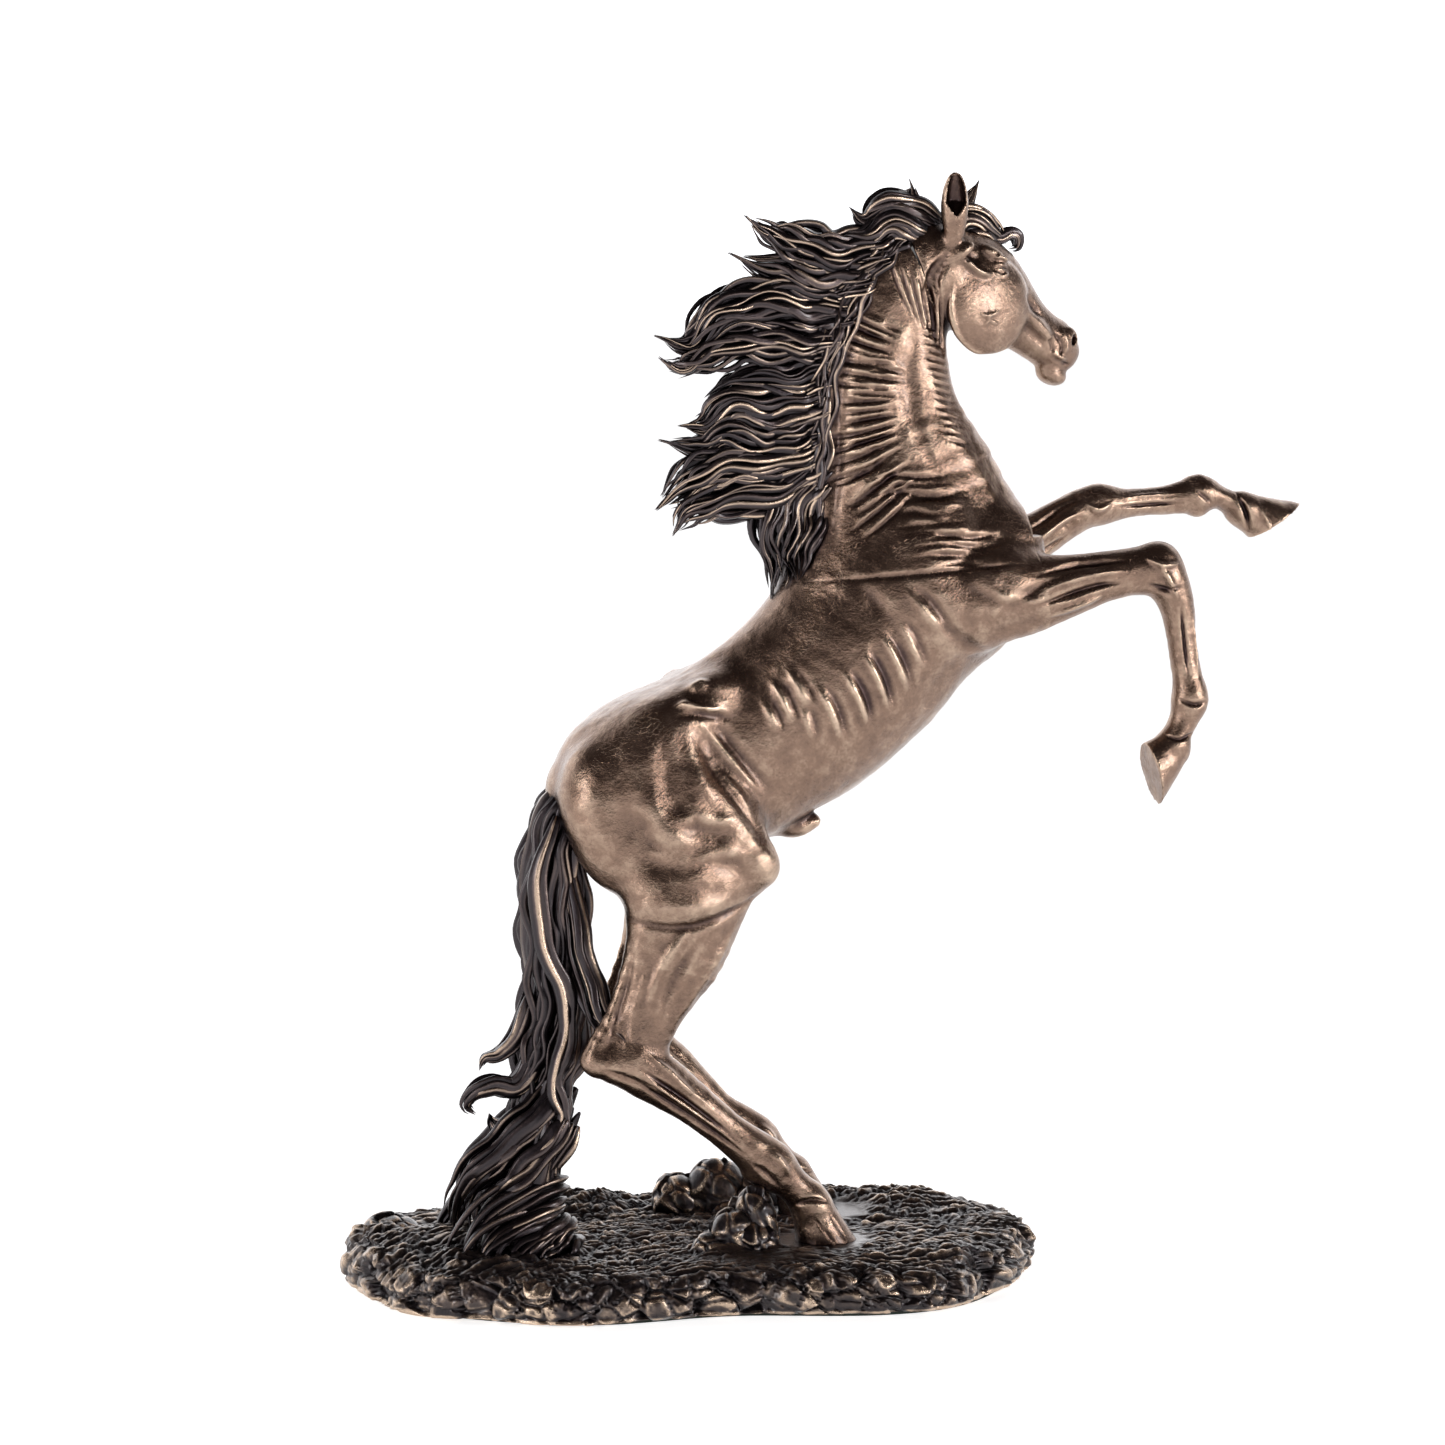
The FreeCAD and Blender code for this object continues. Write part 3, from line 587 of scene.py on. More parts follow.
# Each line is: side (-1 near, 1 far, 0 both), width, height, then x, z, x, z and so on.
LINES = [(0, 1.3, 1.5 * h, *xz) for h, *xz in RIBS]
LINES += [(0, 1.3, -1.2 * h, *(q + (2.5, 0.6)[i % 2] for i, q in enumerate(xz))) for h, *xz in RIBS]
LINES += [
    # fold of the flank from the point of the hip to the stifle, and the muscles behind it
    (0, 1.4, 0.9, -5, 171.5, 3, 162, 10, 153.5, 20, 143.5), (0, 2.0, -0.7, -1, 172, 6, 163, 13, 155, 22, 146),
    (0, 2.4, -1.0, -8, 167, 0, 157, 7, 147.5, 13, 138, 17, 130), (0, 1.5, 0.7, -3, 161, 4, 152.5, 9.5, 145, 14, 136),
    (0, 3.0, 1.1, -8, 170, -6, 161, -4, 153, 1, 144), (0, 4.0, -1.0, -16, 170, -15, 158, -12, 147, -8, 142),
    # point of the hip: a thin ridge and a knob
    (0, 0.9, 1.3, -12, 173.8, -7.5, 174.9, -2.6, 173.9, 8, 172.4),
    (0, 1.5, -0.9, -12, 171.4, -5, 172, 2, 171, 9, 169.8),
    (0, 1.3, 1.3, -7.5, 178.4, -3, 180, 1.5, 181.6), (0, 2.2, -0.6, -8, 176.6, 0, 177.6, 8, 176.4),
    # ring of the thigh muscle and the hollows in it
    (0, 5.0, 0.8, -32, 162, -37, 148, -33, 132, -22, 120, -5, 116, 11, 121),
    (0, 4.2, -1.2, -26, 153, -25.5, 140, -17, 129, -6, 127),
    (0, 3.0, 0.8, -21, 152, -17, 141, -8, 134), (0, 3.0, -1.0, -15, 141, -4, 138, 8, 137),
    (0, 2.6, 0.9, -10, 130, 0, 131.5, 11, 131),
    (0, 2.0, 0.6, -8, 145, -1, 141.5, 7, 142), (0, 1.5, -0.5, -24, 146, -20, 136, -12, 131),
    # the joint under the neck
    (0, 0.8, -0.6, 28, 209.2, 50, 210.9, 75, 212.9, 104, 215.2),
    # crease under the thigh
    (0, 1.2, -0.9, -33, 115.6, -22, 111.6, -9, 110.4, 2, 113.4, 10, 116.4, 18, 121),
    (0, 3.0, 0.5, -32, 119, -18, 115.5, -4, 116.5, 8, 120),
    # shoulder and upper arm
    (0, 3.2, -0.8, 44, 213, 50, 203, 57, 195, 65, 187), (0, 1.7, 0.9, 57, 209, 62.5, 203, 67, 198, 73, 191),
    (0, 1.9, -0.9, 60, 210, 66, 204, 70, 199, 76, 192), (0, 2.2, -1.1, 64, 199, 73, 194, 79, 190.5, 88, 188),
    (0, 2.6, -0.6, 74, 210, 83, 205, 94, 203), (0, 1.6, 0.6, 82, 208, 91, 204, 102, 203.5),
    (0, 2.0, -0.5, 82, 193, 92, 196, 104, 198.4),
    (0, 1.8, -0.8, 86, 199, 96, 205.5, 106, 211), (0, 3.0, 0.7, 72, 224, 82, 224, 93, 222),
    (0, 2.2, -0.6, 62, 219, 76, 217.6, 92, 215),
    # crest ridge, the groove before it, the wrinkled band, the smooth groove, the front of the throat
    (0, 2.4, 1.2, 31, 210, 35, 228, 37, 245, 38, 262, 42, 279, 50, 293, 61, 302),
    (0, 2.0, -1.1, 37, 212, 40, 230, 41.5, 247, 42.3, 264, 46, 279, 54, 291),
    (0, 6.5, 1.2, 52, 226, 49, 246, 48.5, 260, 51, 274, 57, 290),
    (0, 3.0, -0.8, 74, 236, 66, 252, 63, 264, 63, 276, 66, 290),
    (0, 3.4, 0.7, 96, 228, 83, 243, 75, 256, 72, 268, 74, 282), (0, 3.0, -0.7, 73, 311, 71, 303, 70.5, 291, 75, 278),
]
for side, along, up in ((-1, 0, 0), (1, 7, 0)):
    LINES += [(side, w, 1.4 * h, *(q + (along, up)[i % 2] for i, q in enumerate(xz))) for w, h, *xz in (
        # gaskin, Achilles tendon, hock, cannon, fetlock, coronet
        (1.6, 0.7, -8, 111, -14, 103.5, -19, 93, -20.5, 84), (1.5, -0.6, -4, 109, -10, 100, -15, 91, -17, 82),
        (1.6, 0.5, 9, 114, 1, 101, -8, 88, -14, 78), (1.4, -0.9, -24, 105, -26.5, 94, -29, 85, -32, 75),
        (1.2, 0.4, -19, 102, -22.5, 92, -25, 83, -25, 74), (1.1, -0.5, -35, 69, -27, 66, -17, 62),
        (1.0, 0.7, -23, 75, -15, 68, -9, 62, -1, 56),
        (0.8, -0.9, -26, 71, -18, 65, -10, 59, 0, 51, 10, 43),
        (0.8, -0.9, -27, 67, -18, 60.5, -8, 53.5, 2, 46.5, 11, 39.5),
        (0.7, 0.6, -22, 66, -14, 60.5, -5, 54, 5, 46), (1.0, 0.6, 15, 43, 20, 38.5, 23, 33),
        (0.9, -0.6, 11, 38.5, 16, 34.5, 21, 29),
        (0.7, -0.6, 23, 24, 29, 26.5, 36, 25), (0.5, -0.3, 29, 22, 33, 17, 36, 13),
        (0.5, -0.3, 34, 23, 38, 17, 40, 13))]
LINES += [(-1, 0.85 * w, 1.9 * h, *xz) for w, h, *xz in (
    # near foreleg: forearm, knee, cannon, fetlock
    (1.3, -0.7, 96, 210, 110, 213.5, 120, 214.5, 130, 215), (1.4, 0.7, 96, 205, 108, 209, 118, 211, 129, 212),
    (1.2, -0.8, 96, 201, 108, 204.6, 118, 207.4, 128, 208.4), (1.0, 0.5, 101, 198, 112, 201.5, 122, 205.2),
    (1.0, 0.6, 132, 216, 138, 213.5, 144, 214),
    (1.1, -0.6, 133, 208, 139, 206, 145, 207), (1.2, 0.6, 136, 215, 140, 209, 144, 202),
    (0.6, -0.7, 144, 203, 146, 190, 147.8, 177),
    (0.6, 0.4, 148.4, 200, 149.6, 189, 150.8, 178), (0.8, -0.5, 144, 173, 149, 171, 154, 172),
    (0.6, -0.5, 140, 162, 145, 160.6, 151, 163))]
LINES += [(1, 0.9 * w, 1.5 * h, *xz) for w, h, *xz in (
    (1.1, -0.7, 102, 219, 112, 224, 120, 229, 128, 231.4), (1.1, 0.6, 101, 214.6, 111, 219.5, 119, 224.5, 127, 228),
    (0.9, -0.6, 105, 211.6, 114, 216, 122, 221),
    (0.9, 0.6, 126, 231, 131, 228, 137, 230.5), (0.6, -0.7, 137, 228.4, 148, 229, 161, 229.6),
    (0.6, 0.4, 137, 231.4, 149, 231.8, 161, 232.6),
    (0.8, -0.8, 178, 233, 180, 227, 183, 219), (0.6, 0.5, 184, 230, 187, 224, 189, 219),
    (0.7, -0.5, 163, 234, 167, 231, 170, 228.5), (0.6, -0.6, 178, 232, 180.5, 227, 182, 221))]


def wrinkles():
    """Fine skin folds of the arched neck, as more lines."""
    r = np.random.default_rng(5)
    out = []
    for i in range(23):
        z = 285 - i * 2.55 + r.uniform(-0.5, 0.5)
        slope = -4.5 + i * 0.5 if i < 9 else 0.5 + (i - 9) * 0.62
        middle = 50 + r.uniform(-2, 2) + max(0, i - 16) * 1.0
        half = r.uniform(6.5, 12)
        bend = r.uniform(-1.0, 1.2)
        for side in (-1, 1):
            line = (middle - half, z - slope * half / 10, middle, z + bend, middle + half, z + slope * half / 10)
            out.append((side, r.uniform(0.65, 1.0), -r.uniform(0.6, 1.25), *line))
            out.append((side, r.uniform(0.9, 1.3), r.uniform(0.3, 0.65),
                        *(q + (0.3, 1.5)[k % 2] for k, q in enumerate(line))))
            if r.uniform() < 0.5:
                x = middle + r.uniform(-6, 6)
                out.append((side, 0.6, -0.6, x - 4, z - 1.3 - slope * 0.3, x, z - 1.0, x + 4, z - 1.2 + slope * 0.3))
    for i in range(12):                                   # longer ones over the shoulder
        z = 240 - i * 2.3 + r.uniform(-0.6, 0.6)
        left = 46 + i * 1.6 + r.uniform(-4, 4)
        right = 78 + i * 1.4 + r.uniform(-8, 3)
        third = (right - left) / 3
        out.append((0, r.uniform(0.7, 1.3), -r.uniform(0.3, 0.75), left, z - 1, left + third, z + r.uniform(0, 1.6),
                    right - third, z + r.uniform(-0.8, 0.8), right, z + 1))
        out.append((0, r.uniform(1.0, 1.6), r.uniform(0.2, 0.55), left + 3, z + 1.4, (left + right) / 2, z + 1.9,
                    right - 3, z + 2))
    for i in range(15):                                   # throat
        z, x = 284 - i * 2.4, 73.5 + i * 0.5
        out.append((0, 0.55, -0.4, x - 8 + r.uniform(-1, 2), z + 1, x - 3, z, x + 3, z - 1.6))
    for i in range(11):                                   # combed hair behind the cheek
        x = 57 + i * 1.5
        out.append((0, 0.6, (-0.6, 0.5)[i % 2], x, 306 - i * 0.5, x + 2.5, 297 - i, x + 8 - i * 0.5, 285 - i))
    return out


LINES += wrinkles()
HEAD_LINES = [
    # width, height, then x, y, z in the head's frame: arch above the cheek, eyelids, facial crest, hollows, veins
    (1.0, 1.8, -5.5, 8, 304.0, -2, 8.4, 304.6, 2, 8.8, 304.0, 7, 9.4, 300.8, 11, 10, 299.6, 14, 10, 300.6),
    (1.6, -0.7, 1, 8, 308, 6, 8.6, 305, 11, 9, 304), (0.5, 1.0, 12.6, 10, 303.8, 16.6, 11, 305, 20.6, 9.4, 303.2),
    (0.5, 0.8, 12.8, 10, 300.8, 16.8, 11, 299.4, 20.6, 9.6, 300.4),
    (0.45, -1.1, 13, 10.4, 302.2, 16.8, 11.2, 301.8, 20.8, 9.8, 301.6),
    (0.8, 0.8, 21, 8.5, 293.4, 29, 7.6, 288.6, 37, 6.4, 284), (1.4, -0.9, 24, 8, 296, 32, 7, 291, 39, 6, 286),
    (1.4, -0.8, 27, 7.6, 286, 34, 6.6, 281.4, 41, 6, 277.4), (0.8, 0.7, 32, 4, 292, 39, 3.6, 287.4, 46, 3.4, 283.4),
    (0.6, 0.45, 7, 11, 288.4, 10, 11.2, 287.6, 13, 11.2, 288, 17, 10.8, 290),
    (0.6, 0.4, 9.6, 11, 284, 11, 11.2, 286.6, 11.4, 11.2, 290),
    (0.6, 0.35, 10, 11, 287, 13, 11.2, 285.6, 15.4, 10.8, 285),
    (0.9, 1.0, 2.0, 8, 303, -1.4, 7.8, 296, -1.2, 7.6, 288, 2.4, 7.6, 280.4, 9, 7.4, 276.8, 17, 7, 277),
    # mouth, lips and the folds round the muzzle
    (0.6, -1.2, 52, 4, 272, 47, 5.4, 272.8, 41.5, 5.6, 275), (0.6, 0.5, 51, 4, 274.2, 46, 5.6, 274.8, 41, 5.8, 277),
    (0.8, 0.6, 49, 5, 284, 52.6, 4.4, 281, 52.6, 4.6, 276.6),
    (0.7, -0.8, 42.6, 5.6, 283, 46.4, 5.8, 278.6, 46.4, 5.8, 274.6),
    (0.7, -0.6, 39, 5.6, 281.5, 42.6, 5.8, 278, 41.8, 5.8, 274.4),
    (0.6, 0.6, 46.6, 5.4, 283.6, 48.6, 5.8, 279, 47.8, 5.6, 275)]


def skin(v, f):
    """All the modelling on the skin. Neighbouring pieces get the same, so their edges meet."""
    n = vertex_normals(v, f)
    for half, width, height, *xz in LINES:
        stroke(v, n, np.reshape(xz, (-1, 2)), width, height, half)
    if v[:, 2].max() > 260:
        for width, height, *xyz in HEAD_LINES:
            for side in (-1, 1):
                stroke(v, n, [at_head(x, y * side, z) for x, y, z in np.reshape(xyz, (-1, 3))], width, height, 0, 0.3)
    stroke(v, n, [(20, 0, 134), (36, 0, 141), (52, 0, 148), (66, 0, 158), (78, 0, 172)], 2.4, 0.8)
    lumpy = 0.10 * value_noise(v, 2.6, 31) + 0.18 * value_noise(v, 5.5, 33) + 0.22 * value_noise(v, 11.0, 32)
    haunch = np.exp(-((v[:, 0] + 10) / 16) ** 2 - ((v[:, 2] - 140) / 15) ** 2)
    lumpy += haunch * (0.35 * value_noise(v, 5.0, 34) + 0.45 * value_noise(v, 9.0, 35))
    lumpy *= 1 - 0.4 * np.clip((v[:, 0] - 66) / 12, 0, 1) * (v[:, 2] > 262)
    v += n * lumpy[:, None]


# ---------------------------------------------------------------- materials
def node_material(name, dark, mid, bright, rough=(0.42, 0.26), grain=0.10, pits=0.35, edge=(-0.10, 0.16), coat=0.25,
                  mottle=0.4, hollow=0.8):
    """Patinated bronze: dark in the hollows, rubbed bright on what stands proud, with fine casting grain. The
    occlusion darkening is patina in the hollows and painted shade where the floor comes near; on hair and ground the
    attribute also brings painted light.
    """
    m = bpy.data.materials.new(name)
    m.use_nodes = True
    t = m.node_tree
    t.nodes.clear()
    out = t.nodes.new("ShaderNodeOutputMaterial")
    b = t.nodes.new("ShaderNodeBsdfPrincipled")
    t.links.new(b.outputs[0], out.inputs[0])
    b.inputs["Metallic"].default_value = 1.0
    b.inputs["Coat Weight"].default_value = coat
    b.inputs["Coat Roughness"].default_value = 0.22
    coords = t.nodes.new("ShaderNodeTexCoord")

    def noise(scale, detail=4.0, rough_=0.55):
        nd = t.nodes.new("ShaderNodeTexNoise")
        nd.inputs["Scale"].default_value = scale
        nd.inputs["Detail"].default_value = detail
        nd.inputs["Roughness"].default_value = rough_
        t.links.new(coords.outputs["Object"], nd.inputs["Vector"])
        return nd.outputs["Fac"]

    def maths(op, a, b_=None, clamp=False):
        nd = t.nodes.new("ShaderNodeMath")
        nd.operation = op
        nd.use_clamp = clamp
        for i, s in enumerate((a, b_)):
            if s is None:
                continue
            if isinstance(s, (int, float)):
                nd.inputs[i].default_value = s
            else:
                t.links.new(s, nd.inputs[i])
        return nd.outputs[0]

    def swing(a, amount):
        """Moves the middle of a value to 0 and scales it."""
        return maths("MULTIPLY", maths("SUBTRACT", a, 0.5), amount)

    proud = t.nodes.new("ShaderNodeAttribute")
    proud.attribute_name = "proud"
    blotch = noise(55, 5)
    fine = noise(900, 6, 0.65)
    level = maths("ADD", proud.outputs["Fac"], swing(blotch, mottle))
    level = maths("ADD", level, swing(noise(230, 4), 0.9 * mottle))
    level = maths("ADD", level, swing(fine, 0.8 * mottle))
    # hollows keep their dark patina, open faces are rubbed; the same occlusion darkening is painted shade where the
    # floor comes near
    shelter = t.nodes.new("ShaderNodeAmbientOcclusion")
    shelter.samples = 6
    shelter.inputs["Distance"].default_value = 0.006
    level = maths("SUBTRACT", level, maths("MULTIPLY", maths("SUBTRACT", 1.0, shelter.outputs["AO"]), hollow))
    spread = t.nodes.new("ShaderNodeMapRange")
    spread.inputs["From Min"].default_value = edge[0]
    spread.inputs["From Max"].default_value = edge[1]
    t.links.new(level, spread.inputs["Value"])
    ramp = t.nodes.new("ShaderNodeValToRGB")
    e = ramp.color_ramp.elements
    e[0].position, e[0].color = 0.0, (*dark, 1)
    e[1].position, e[1].color = 1.0, (*bright, 1)
    middle = e.new(0.45)
    middle.color = (*mid, 1)
    t.links.new(spread.outputs[0], ramp.inputs[0])
    t.links.new(ramp.outputs[0], b.inputs["Base Color"])
    roughness = t.nodes.new("ShaderNodeMapRange")
    roughness.inputs["To Min"].default_value = rough[0]
    roughness.inputs["To Max"].default_value = rough[1]
    t.links.new(maths("ADD", spread.outputs[0], swing(fine, 0.8), True), roughness.inputs["Value"])
    t.links.new(roughness.outputs[0], b.inputs["Roughness"])
    crackle = t.nodes.new("ShaderNodeTexVoronoi")
    crackle.feature = "DISTANCE_TO_EDGE"
    crackle.inputs["Scale"].default_value = 620
    t.links.new(coords.outputs["Object"], crackle.inputs["Vector"])
    crack = maths("MULTIPLY", maths("LESS_THAN", crackle.outputs["Distance"], 0.07),
                  maths("GREATER_THAN", noise(70, 3), 0.52))
    pit = maths("ADD", maths("MULTIPLY", maths("LESS_THAN", noise(420, 2), 0.35), -pits),
                maths("MULTIPLY", crack, -pits))
    bump = t.nodes.new("ShaderNodeBump")
    bump.inputs["Strength"].default_value = grain * 4
    bump.inputs["Distance"].default_value = 0.0004
    t.links.new(maths("ADD", maths("ADD", fine, noise(260, 5)), pit), bump.inputs["Height"])
    t.links.new(bump.outputs[0], b.inputs["Normal"])
    return m


BODY = node_material("body bronze", (0.038, 0.021, 0.020), (0.228, 0.147, 0.106), (0.72, 0.55, 0.41), (0.30, 0.20),
                     grain=0.12, pits=0.6,
                     edge=(-0.48, 0.64), mottle=0.46, hollow=1.05)
HAIR = node_material("hair bronze", (0.024, 0.018, 0.021), (0.085, 0.060, 0.056), (0.62, 0.46, 0.34), (0.36, 0.27),
                     edge=(-0.16, 0.34),
                     coat=0.5, mottle=0.12, hollow=0.35)
EARTH = node_material("ground bronze", (0.020, 0.015, 0.017), (0.075, 0.055, 0.048), (0.55, 0.41, 0.30), (0.34, 0.25),
                      grain=0.16,
                      edge=(-0.35, 0.60), coat=0.6, mottle=0.3, hollow=0.5)


# ---------------------------------------------------------------- pieces of the horse
def plane(g, point, normal):
    n = unit(normal)
    return (g[0] - point[0]) * n[0] + (g[1] - point[1]) * n[1] + (g[2] - point[2]) * n[2]


SEAM = ((26, 0, 209), (-0.08, 0, 1))
HEAD_CUT = ((71, 0, 297), (0.94, 0, 0.33))
ARM_CUTS = [((103, -17.4, 206), (1, -0.1, 0.15)), ((105, 14.5, 215.5), (0.9, 0.1, 0.42))]
THIGH_CUT = ((-12, -20, 97), (-0.25, 0, -1))
HEAD_FLOOR = 262           # nothing below this height belongs to the head
LAP = 1.8                  # how far a piece runs on under its neighbour


def beyond(d, g, cut, sign):
    """Keeps the side of a cut plane that its normal (times sign) points to, and a lap that sinks under the
    neighbour."""
    p = plane(g, *cut) * sign
    return np.maximum(d + np.maximum(-p, 0) * 0.10 + np.maximum(-p, 0) ** 2 * 0.06, -p - LAP)


def head_side(g):
    """Below zero where a point belongs to the head casting."""
    return np.maximum(-plane(g, *HEAD_CUT), HEAD_FLOOR - g[2])


def keep_trunk(d, g):
    d = beyond(d, g, SEAM, -1)
    for cut in ARM_CUTS:
        d = np.where(plane(g, *cut) > -6, beyond(d, g, cut, -1), d)
    return beyond(d, g, THIGH_CUT, -1)


def keep_neck(d, g):
    d = beyond(d, g, SEAM, 1)
    for cut in ARM_CUTS:
        d = np.maximum(d, plane(g, *cut))
    s = head_side(g)
    return np.maximum(d + np.maximum(-s, 0) ** 2 * 0.12, -s - LAP)


def keep_head(d, g):
    s = head_side(g)
    return np.maximum(d + np.maximum(s, 0) ** 2 * 0.12, s - LAP)


def keep_leg(cut, y_low, y_high):
    def keep(d, g):
        d = beyond(d, g, cut, 1)
        return np.maximum(d, np.maximum(y_low - g[1], g[1] - y_high))
    return keep


NECK_MAP = np.zeros((60, 90))        # half thickness of the neck over cells of the sagittal plane
MAP_CELL = 1.5
MAP_FLOOR = 190


def map_cell(x, z):
    """Indexes into NECK_MAP of points in the sagittal plane."""
    i = np.clip((x / MAP_CELL).astype(int), 0, NECK_MAP.shape[0] - 1)
    j = np.clip(((z - MAP_FLOOR) / MAP_CELL).astype(int), 0, NECK_MAP.shape[1] - 1)
    return i, j


# name, corners of its window, step, what it keeps, and the CAD nodes it stands for
HORSE_PIECES = (
    ("trunk", (-48, -36, 88), (112, 34, 226), 0.72, keep_trunk,
     ("trunk_casting", "neck_joint_rivets", "near_foreleg_pin", "far_foreleg_pin",
      "near_hind_leg_pin", "far_hind_leg_pin", "tail_pin")),
    ("neck", (22, -27, 202), (112, 27, 322), 0.5, keep_neck, ("neck_casting", "mane_dowels", "head_pin")),
    ("head", (62, -16, 262), (134, 30, 332), 0.36, keep_head, ("head_casting",)),
    ("near_foreleg", (98, -29, 138), (160, -8, 222), 0.42, keep_leg(ARM_CUTS[0], -40, -2),
     ("near_foreleg_casting",)),
    ("far_foreleg", (99, 6, 204), (202, 28, 243), 0.45, keep_leg(ARM_CUTS[1], 2, 40),
     ("far_foreleg_casting",)),
    ("near_hind_leg", (-46, -32, 10), (48, -6, 110), 0.45, keep_leg(THIGH_CUT, -40, -2),
     ("near_hind_leg_casting", "near_hoof_stud")),
    ("far_hind_leg", (-46, 5, 10), (58, 30, 110), 0.5, keep_leg(THIGH_CUT, 2, 40),
     ("far_hind_leg_casting", "far_hoof_stud")))
for name, low, high, step, keep, nodes in HORSE_PIECES:
    v, f = carve(low, high, step, keep)
    skin(v, f)
    if name == "neck":
        np.maximum.at(NECK_MAP, map_cell(v[:, 0], v[:, 2]), -v[:, 1])
    make_object(name, v, f, BODY, nodes)


# ---------------------------------------------------------------- hair
def strand(path, width, thick, phase, roll, rows, sides, face, shine, wave=0.0, waves=2.0):
    """A tapering lock with four ridges, swept along a path. face (-1 near, 1 far) is the side painted with a
    highlight line, as strong as shine; 0 is neither. Returns vertices, triangles and how proud each vertex stands,
    painted highlight included."""
    p = smooth_path(path, max(3, int(rows / max(1, len(path) - 1))))
    m = len(p)
    t = np.gradient(p, axis=0)
    t = unit(t)
    ref = np.array([0.0, 1.0, 0.0])
    side = unit(ref - t * (t @ ref)[:, None])
    up = np.cross(side, t)
    s = np.linspace(0, 1, m)
    if wave:
        p = p + up * (wave * np.sin(2 * math.pi * waves * s + phase) * np.clip(s * 3, 0, 1))[:, None]
        p = p + side * (0.5 * wave * np.cos(2 * math.pi * waves * s * 0.8 + phase) * np.clip(s * 3, 0, 1))[:, None]
        t = unit(np.gradient(p, axis=0))
        side = unit(ref - t * (t @ ref)[:, None])
        up = np.cross(side, t)
    swell = np.minimum(1, (s + 0.02) / 0.16) ** 0.6 * (1 - s ** 2.2) ** 0.8 + 0.02
    swell = np.maximum(swell, 0.035)
    swell[0] = 0.3
    a = np.linspace(0, 2 * math.pi, sides, endpoint=False)
    turn = roll + 0.9 * np.sin(s * 3.1 + phase)[:, None] * 0.5
    ridge = 1 + 0.16 * np.cos(4 * (a[None, :] + turn * 0.6) + phase)
    x = np.cos(a)[None, :] * width * swell[:, None] * ridge
    y = np.sin(a)[None, :] * thick * swell[:, None] * ridge
    c, z = np.cos(turn), np.sin(turn)
    u, w = x * c - y * z, x * z + y * c
    v = p[:, None, :] + up[:, None, :] * u[..., None] + side[:, None, :] * w[..., None]
    proud = ((ridge - 1) / 0.16) * 0.5 + 0.12
    # painted highlight: a bright line along the outermost side of the strand, toward face, as strong as shine
    if face:
        outward = np.clip(w * face / (thick * np.maximum(swell[:, None], 0.05)), -1, 1)
        proud = proud * 0.4 + 1.35 * shine * np.maximum(outward, 0) ** 5 - 0.40
    v = np.vstack([v.reshape(-1, 3), p[0] - t[0] * 0.2, p[-1] + t[-1] * 0.5])
    return v, tube_faces(m, sides), np.append(proud.ravel(), [0, 0.3])


class Tuft:
    """Many strands in one mesh."""

    def __init__(self):
        self.v, self.f, self.p, self.n = [], [], [], 0

    def add(self, *args, **kw):
        v, f, p = strand(*args, **kw)
        self.v.append(v)
        self.f.append(f + self.n)
        self.p.append(p)
        self.n += len(v)

    def done(self, name, nodes):
        v, f, p = np.vstack(self.v), np.vstack(self.f), np.concatenate(self.p)
        make_object(name, v, f, HAIR, nodes, extra=p * 0.34 - 0.02)


ROUND = 6.28       # range of a strand's starting phase, one wave


def mass(tuft, guide, half, thick, count, width, wave=1.0, layers=(-1, 1), y0=0.0, y_end=None, hug=None):
    """A lock of hair: strands side by side along a guide of (x, z), waving together and drawn together at the
    tip. half is the lock's half width at each guide point and thick its half thickness. hug(x, z) gives the
    half thickness of the body that the roots must lie on."""
    path = smooth_path([(x, z, h) for (x, z), h in zip(guide, half)], 6)
    c, h = path[:, :2], np.maximum(path[:, 2], 0)
    t = unit(np.gradient(c, axis=0))
    n = np.stack([-t[:, 1], t[:, 0]], 1)
    s = np.linspace(0, 1, len(c))
    length = np.linalg.norm(np.diff(c, axis=0), axis=1).sum()
    y_end = y0 if y_end is None else y_end
    beat, start = length / rng.uniform(15, 19), rng.uniform(0, ROUND)
    swell = np.clip(s * 4, 0, 1) * np.clip((1 - s) * 4, 0.3, 1)
    for layer in layers:
        for i in range(count):
            o = max(-1, min(1, (i + 0.5) / count * 2 - 1 + rng.uniform(-0.1, 0.1)))
            phase = start + rng.uniform(-1.1, 1.1) + o * 0.5 + layer * 0.4
            lateral = o * h + wave * rng.uniform(0.5,
                                                 1.1) * np.sin(2 * math.pi * beat * rng.uniform(0.85,
                                                         1.15) * s + phase) * swell
            deep = layer * thick * math.sqrt(max(0, 1 - o * o * 0.85)) * np.minimum(1,
                    0.35 + h / max(h.max(), 1)) * np.clip((1 - s) * 2.5, 0.1, 1)
            x, z = c[:, 0] + n[:, 0] * lateral, c[:, 1] + n[:, 1] * lateral
            if hug is not None and layer:
                deep = layer * np.maximum(np.abs(deep), hug(x, z) + width * 0.25)
            y = y0 + (y_end - y0) * s + deep + 0.45 * wave * np.cos(2 * math.pi * beat * s + phase)
            stop = int(len(s) * rng.uniform(0.84, 1.0)) if abs(o) > 0.25 else len(s)
            w = width * rng.uniform(0.7, 1.35)
            # the strands of the outer layers get a painted highlight line on their outer side, of random strength
            tuft.add(np.stack([x, y, z], 1)[:stop:2], w, w * 0.8, phase=rng.uniform(0, ROUND),
                     roll=rng.uniform(-0.5, 0.5),
                     rows=max(26, int(stop * 1.3)), sides=14, face=layer, shine=rng.uniform(0.2, 1.05) ** 1.3)


def neck_half(x, z):
    """Half thickness of the neck and withers at points of the sagittal plane; 0 off the horse."""
    return NECK_MAP[map_cell(x, z)]


